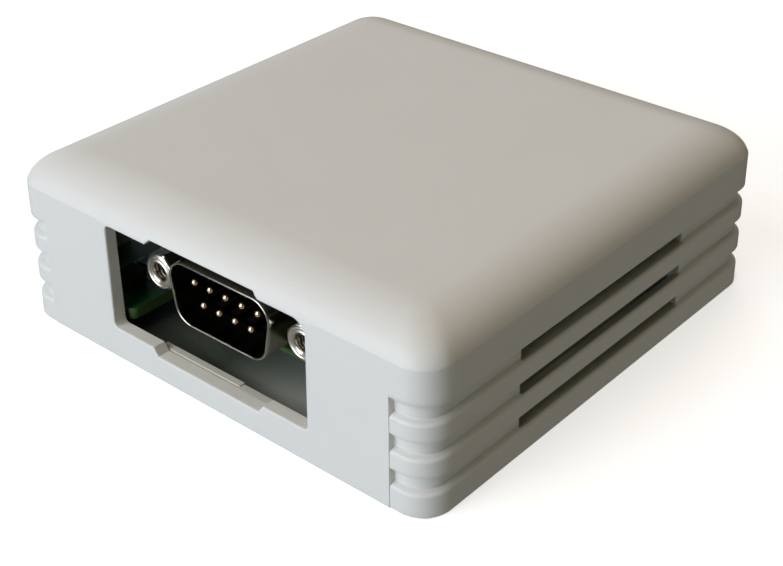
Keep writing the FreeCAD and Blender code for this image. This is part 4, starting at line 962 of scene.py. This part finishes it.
# Depth and radius from the thread's mouth outwards: countersink, flat ring, shallow groove and face
FACE_ROWS = [
    (0.34, 1.18), (0.05, 1.44), (0.01, 1.49), (0.0, 1.54), (0.0, 1.66), (0.07, 1.74), (0.09, 1.82),
    (0.07, 1.9), (0.01, 1.97), (0.0, 2.03), (0.0, 2.12),
]


def jack_screw(x, spin, around=96):
    """A surface of revolution whose outer rows are cut to a hexagon and whose bore rows follow a helix."""
    turn = np.linspace(0, 2 * np.pi, around, endpoint=False)
    sector = (turn - math.radians(spin)) % (np.pi / 3) - np.pi / 6
    hexagon = np.minimum(ACROSS_FLATS / 2 / np.cos(sector), ACROSS_FLATS / 2 * 1.145)
    length = JACK_SEAT - JACK_MOUTH
    end = length + STUD_REACH
    bore = np.linspace(THREAD_TO, THREAD_FROM, 54)
    phase = bore[:, None] / THREAD_PITCH - turn[None, :] / (2 * np.pi)
    ridge = THREAD_DEEP * np.clip(1.25 - 2.5 * np.abs(phase % 1 - 0.5), 0, 1)
    fade = np.clip(np.minimum(bore - THREAD_FROM, THREAD_TO - bore) / THREAD_FADE, 0, 1)
    rows = [(BORE_DEEP, 0.02), (BORE_DEEP - 0.35, BORE_RADIUS - 0.25), (BORE_DEEP - 0.4, BORE_RADIUS)]
    rows += [*zip(bore, BORE_RADIUS + ridge * fade[:, None])] + FACE_ROWS
    for depth in (0.01, 0.05, 0.12, 0.2, 0.3, 0.42, 0.6, length / 2, length - 0.12):
        rows.append((depth, np.minimum(hexagon, FACE_RADIUS - 0.03 + 1.2 * depth)))
    rows += [(length - 0.03, hexagon - 0.04), (length, hexagon - 0.12)]
    rows += [(length, STUD_RADIUS), (length + 0.1, STUD_RADIUS)]
    rows += [(end - 0.3, STUD_RADIUS), (end, STUD_RADIUS - 0.3), (end, 0.02)]
    depth = np.array([row[0] for row in rows])[:, None] + 0 * turn
    radius = np.array([row[1] + 0 * turn for row in rows])
    grid = np.stack([x + radius * np.cos(turn), JACK_MOUTH + depth, PLUG_Z - radius * np.sin(turn)], -1)
    return capped(grid, grid[0].mean(0), grid[-1].mean(0))


def post_finish():
    """Nickel plate with turned rings; painted shade darkens the flats behind the face, and the tapped bore is
    warm brown at its mouth and painted darker with depth as painted shade."""
    material, tree, shader = surface("post_plate", Metallic=1.0)
    axes = axes_of(object_place(tree))
    beside = maths("ABSOLUTE", maths("SUBTRACT", axes["X"], PLUG_X * MM))
    beside = maths("SUBTRACT", beside, JACK_OUT * MM)
    height = maths("SUBTRACT", axes["Z"], PLUG_Z * MM)
    squares = [maths("MULTIPLY", value, value) for value in (beside, height)]
    away = maths("SQRT", maths("ADD", *squares))
    inside = mapped(away, 1.42 * MM, 1.3 * MM)
    # Painted shade: the bore darkens with depth and the flats behind the face turn dark
    deep = mapped(axes["Y"], JACK_MOUTH * MM, (JACK_MOUTH + 1.5) * MM)
    flats = mapped(axes["Y"], (JACK_MOUTH + 0.25) * MM, (JACK_MOUTH + 0.7) * MM)
    plate = mixed(cloud(tree, 500), (0.8, 0.745, 0.655), (0.9, 0.84, 0.75))
    plate = mixed(flats, plate, (0.13, 0.112, 0.085))
    bore_shade = mixed(deep, (0.62, 0.54, 0.44), (0.13, 0.115, 0.095))
    colour = mixed(inside, plate, bore_shade)
    fed(shader, Base_Color=colour, Roughness=mapped(inside, 0, 1, 0.34, 0.26))
    rings = maths("SINE", maths("MULTIPLY", away, 2 * math.pi / (RING_PITCH * MM)))
    bumped(shader, rings, 0.000012)
    return material


posts = [jack_screw(x, spin) for x, spin in zip(JACK_XS, JACK_SPINS)]
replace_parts(piece("jack_posts", posts, "base", post_finish(), 32), "jack_screws")

# Black mouldings
# Glass-filled nylon for the plug's insulator, epoxy for the chips, diodes and sensing element.

FACE_AT, FACE_EDGE, NOSE_BACK, BLOCK_BACK = -27.188, 0.3, -24.6, -19.988
NOSE_MARGIN, DIMPLE_DEEP, DIMPLE_RADIUS, DIMPLE_FLOOR = -0.1, 0.28, 0.78, 0.52
BLOCK_HALF_X, BLOCK_HALF_Z = 9.29, 5.38


def black_moulding(name, light, rough, gloss=0.3):
    """Black moulding: near-black with a faint grey bloom and fine grain."""
    return moulded_plastic(name, light, tuple(c * 0.6 for c in light), rough, 7000, 0.000004, gloss)


def insulator_nose():
    """A keyed outline swept back from a rounded edge, its face dimpled round each pin."""
    profile = [
        (NOSE_MARGIN - FACE_EDGE * (1 - s), FACE_AT + FACE_EDGE * (1 - c)) for c, s in zip(*arc(0, 90, 5))
    ]
    grid = swept(profile + [(NOSE_MARGIN, -26.0), (NOSE_MARGIN, NOSE_BACK)])
    total = grid.shape[0] * grid.shape[1]
    index = np.arange(total).reshape(grid.shape[:2])
    circle = np.stack(arc(0, 360, 21), 1)[:-1]
    places = [(x, row_height(row)) for x, row in PINS]
    dimples = [circle * DIMPLE_RADIUS + place for place in places]
    loops = [keyed_loop(NOSE_MARGIN - FACE_EDGE), *dimples]
    flat, tris, rims = plate(loops, 0, index[0], FACE_AT, total)
    points, faces = [grid.reshape(-1, 3), flat], [quads(index)[:, ::-1], tris]
    total += len(flat)
    for rim, place in zip(rims[1:], places):
        points.append(upright(np.vstack([circle * DIMPLE_FLOOR + place, place]), FACE_AT + DIMPLE_DEEP))
        low_id = total + np.arange(len(circle))
        faces += [bridge(rim, low_id), fan(low_id, total + len(circle))]
        total += len(circle) + 1
    flat, tris, _ = plate([keyed_loop(NOSE_MARGIN)], 0, index[-1], NOSE_BACK, total, -1)
    return np.vstack([*points, flat]), [*faces, tris]


block = blocks([[
    (PLUG_X - BLOCK_HALF_X, NOSE_BACK + 0.02, PLUG_Z - BLOCK_HALF_Z),
    (PLUG_X + BLOCK_HALF_X, BLOCK_BACK, PLUG_Z + BLOCK_HALF_Z),
]])
nylon = black_moulding("insulator_nylon", (0.003, 0.0028, 0.0024), 0.6, 0.02)
moulding = [insulator_nose(), block]
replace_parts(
    piece("plug_insulator", moulding, "base", nylon, 40), "connector_insulator"
)
epoxy = black_moulding("chip_epoxy", (0.022, 0.022, 0.024), 0.5)
dress("microcontroller line_driver chip_resistors voltage_regulator sensing_element capacitor_seals", epoxy)
dress("diodes", black_moulding("diode_epoxy", (0.03, 0.036, 0.022), 0.55, 0.2))
ceramic = moulded_plastic("fired_ceramic", (0.42, 0.31, 0.2), (0.34, 0.25, 0.16), 0.45, 6000, 0.00001)
dress("ceramic_capacitors", ceramic)

# Soft edges and first-pin marks
# Every edge is slightly broken, and each chip has a round mark by its first lead.

EDGES = {
    0.03: "chip_resistors", 0.04: "circuit_board", 0.05: "ceramic_capacitors chip_end_caps jack_washers",
    0.06: "connector_rear_plate connector_brackets", 0.08: "base_plate crystal_base",
    0.1: "sensing_element jack_nuts", 0.12: "voltage_regulator diodes", 0.14: "microcontroller line_driver",
    0.35: "crystal_can",
}
for width, nodes in EDGES.items():
    for node in nodes.split():
        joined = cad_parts[node].modifiers.new("joined", "WELD")
        joined.merge_threshold = 0.001 * MM
        softened(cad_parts[node], width)
MARK_LOW, MARK_TOP = 8.6, 8.656
marks = discs([(CHIP_X - length / 2 + 1.1, y - 2.6) for y, length, _ in CHIPS], 0.5, MARK_LOW, MARK_TOP, 28)
gloss = moulded_plastic("mark_gloss", (0.045, 0.045, 0.048), (0.035, 0.035, 0.038), 0.22, specular=0.5)
piece("first_pin_marks", marks, "base", gloss)

# Floor, light and camera
# Seven soft lamps, a weak bounce from below the horizon, and a pale floor that glows beyond the case's
# foot, so that it is white.

FLOOR_HALF = 8.0
GLOW_FROM, GLOW_TO, GLOW = 33 * MM, 35 * MM, 0.6


def floor_mesh():
    """A flat square that reaches past every view's horizon."""
    mesh = bpy.data.meshes.new("floor")
    mesh.from_pydata([(sx * FLOOR_HALF, sy * FLOOR_HALF, 0) for sx, sy in AROUND], [], [(0, 1, 2, 3)])
    material, tree, shader = surface("floor_paper", Roughness=0.9, Specular_IOR_Level=0.1)
    axes = axes_of(object_place(tree))
    reach = maths("MAXIMUM", maths("ABSOLUTE", axes["X"]), maths("ABSOLUTE", axes["Y"]))
    glow = mapped(reach, GLOW_FROM, GLOW_TO, 0, GLOW)
    fed(shader, Base_Color=(0.9, 0.9, 0.9), Emission_Color=(1.0, 1.0, 1.0), Emission_Strength=glow)
    mesh.materials.append(material)
    obj = bpy.data.objects.new("floor", mesh)
    bpy.context.scene.collection.objects.link(obj)
    obj.visible_diffuse = False
    obj.visible_glossy = False


floor_mesh()
LAMP_AWAY, LAMP_SIZE = 0.9, 0.6
LIGHTS = {
    # name: (azimuth, elevation, power, colour)
    "left_fill": (-110, 12, 1.5, (0.7, 0.87, 1.0)),
    "back_left": (-150, 40, 1.735, (1.0, 0.951, 0.957)),
    "left_low": (-20, 12, 2.24, (0.75, 0.895, 1.0)),
    "key": (-20, 40, 3.165, (0.954, 0.931, 1.0)),
    "front": (0, 12, 4.15, (0.84, 0.92, 1.0)),
    "right_fill": (100, 12, 0.62, (1.0, 0.883, 0.553)),
    "overhead": (0, 89, 1.21, (1.0, 0.748, 0.343)),
}
BOUNCE = (0.186, 0.19, 0.183)
PHOTO_WIDTH, FOCAL_PIXELS, SENSOR = 783, 1483.5, 36
CAMERA_AZIMUTH, CAMERA_HEIGHT, CAMERA_ROLL, CAMERA_AWAY = 40.855, 31.915, -0.418, 207.4
AIM = np.array([-0.325, 0, 1.133])


def toward(azimuth, elevation):
    """Unit vector from the object: azimuth 0 is in front of it, 90 to its right."""
    a, e = math.radians(azimuth), math.radians(elevation)
    return np.array([math.sin(a) * math.cos(e), -math.cos(a) * math.cos(e), math.sin(e)])


def placed(where, back, roll=0.0):
    """The matrix of something at a place that looks along -back, rolled by some degrees."""
    right = np.cross(-back, [0, 0, 1])
    right /= np.linalg.norm(right)
    up = np.cross(back, right)
    c, s = math.cos(math.radians(roll)), math.sin(math.radians(roll))
    axes = np.stack([c * right + s * up, -s * right + c * up, back], 1)
    return Matrix.Translation(where) @ Matrix(axes.tolist()).to_4x4()


for name, (azimuth, elevation, power, colour) in LIGHTS.items():
    data = bpy.data.lights.new(name, "AREA")
    data.shape = "SQUARE"
    data.size = LAMP_SIZE
    data.energy = power
    data.color = colour
    lamp = bpy.data.objects.new(name, data)
    back = toward(azimuth, elevation)
    lamp.matrix_world = placed(back * LAMP_AWAY, back)
    bpy.context.scene.collection.objects.link(lamp)

world = bpy.data.worlds.new("room")
world.use_nodes = True
tree = world.node_tree
looking = tree.nodes.new("ShaderNodeTexCoord").outputs["Generated"]
below = mapped(axes_of(looking)["Z"], 0.05, -0.05)
fed(tree.nodes["Background"], Color=mixed(below, (0, 0, 0), BOUNCE))
bpy.context.scene.world = world

lens = bpy.data.cameras.new("camera")
lens.lens = FOCAL_PIXELS * SENSOR / PHOTO_WIDTH
lens.sensor_width = SENSOR
lens.clip_start, lens.clip_end = 0.01, 10
camera = bpy.data.objects.new("camera", lens)
back = toward(CAMERA_AZIMUTH, CAMERA_HEIGHT)
camera.matrix_world = placed((AIM + back * CAMERA_AWAY) * MM, back, CAMERA_ROLL)
bpy.context.scene.collection.objects.link(camera)
bpy.context.scene.camera = camera
bpy.context.scene.view_settings.view_transform = "Standard"
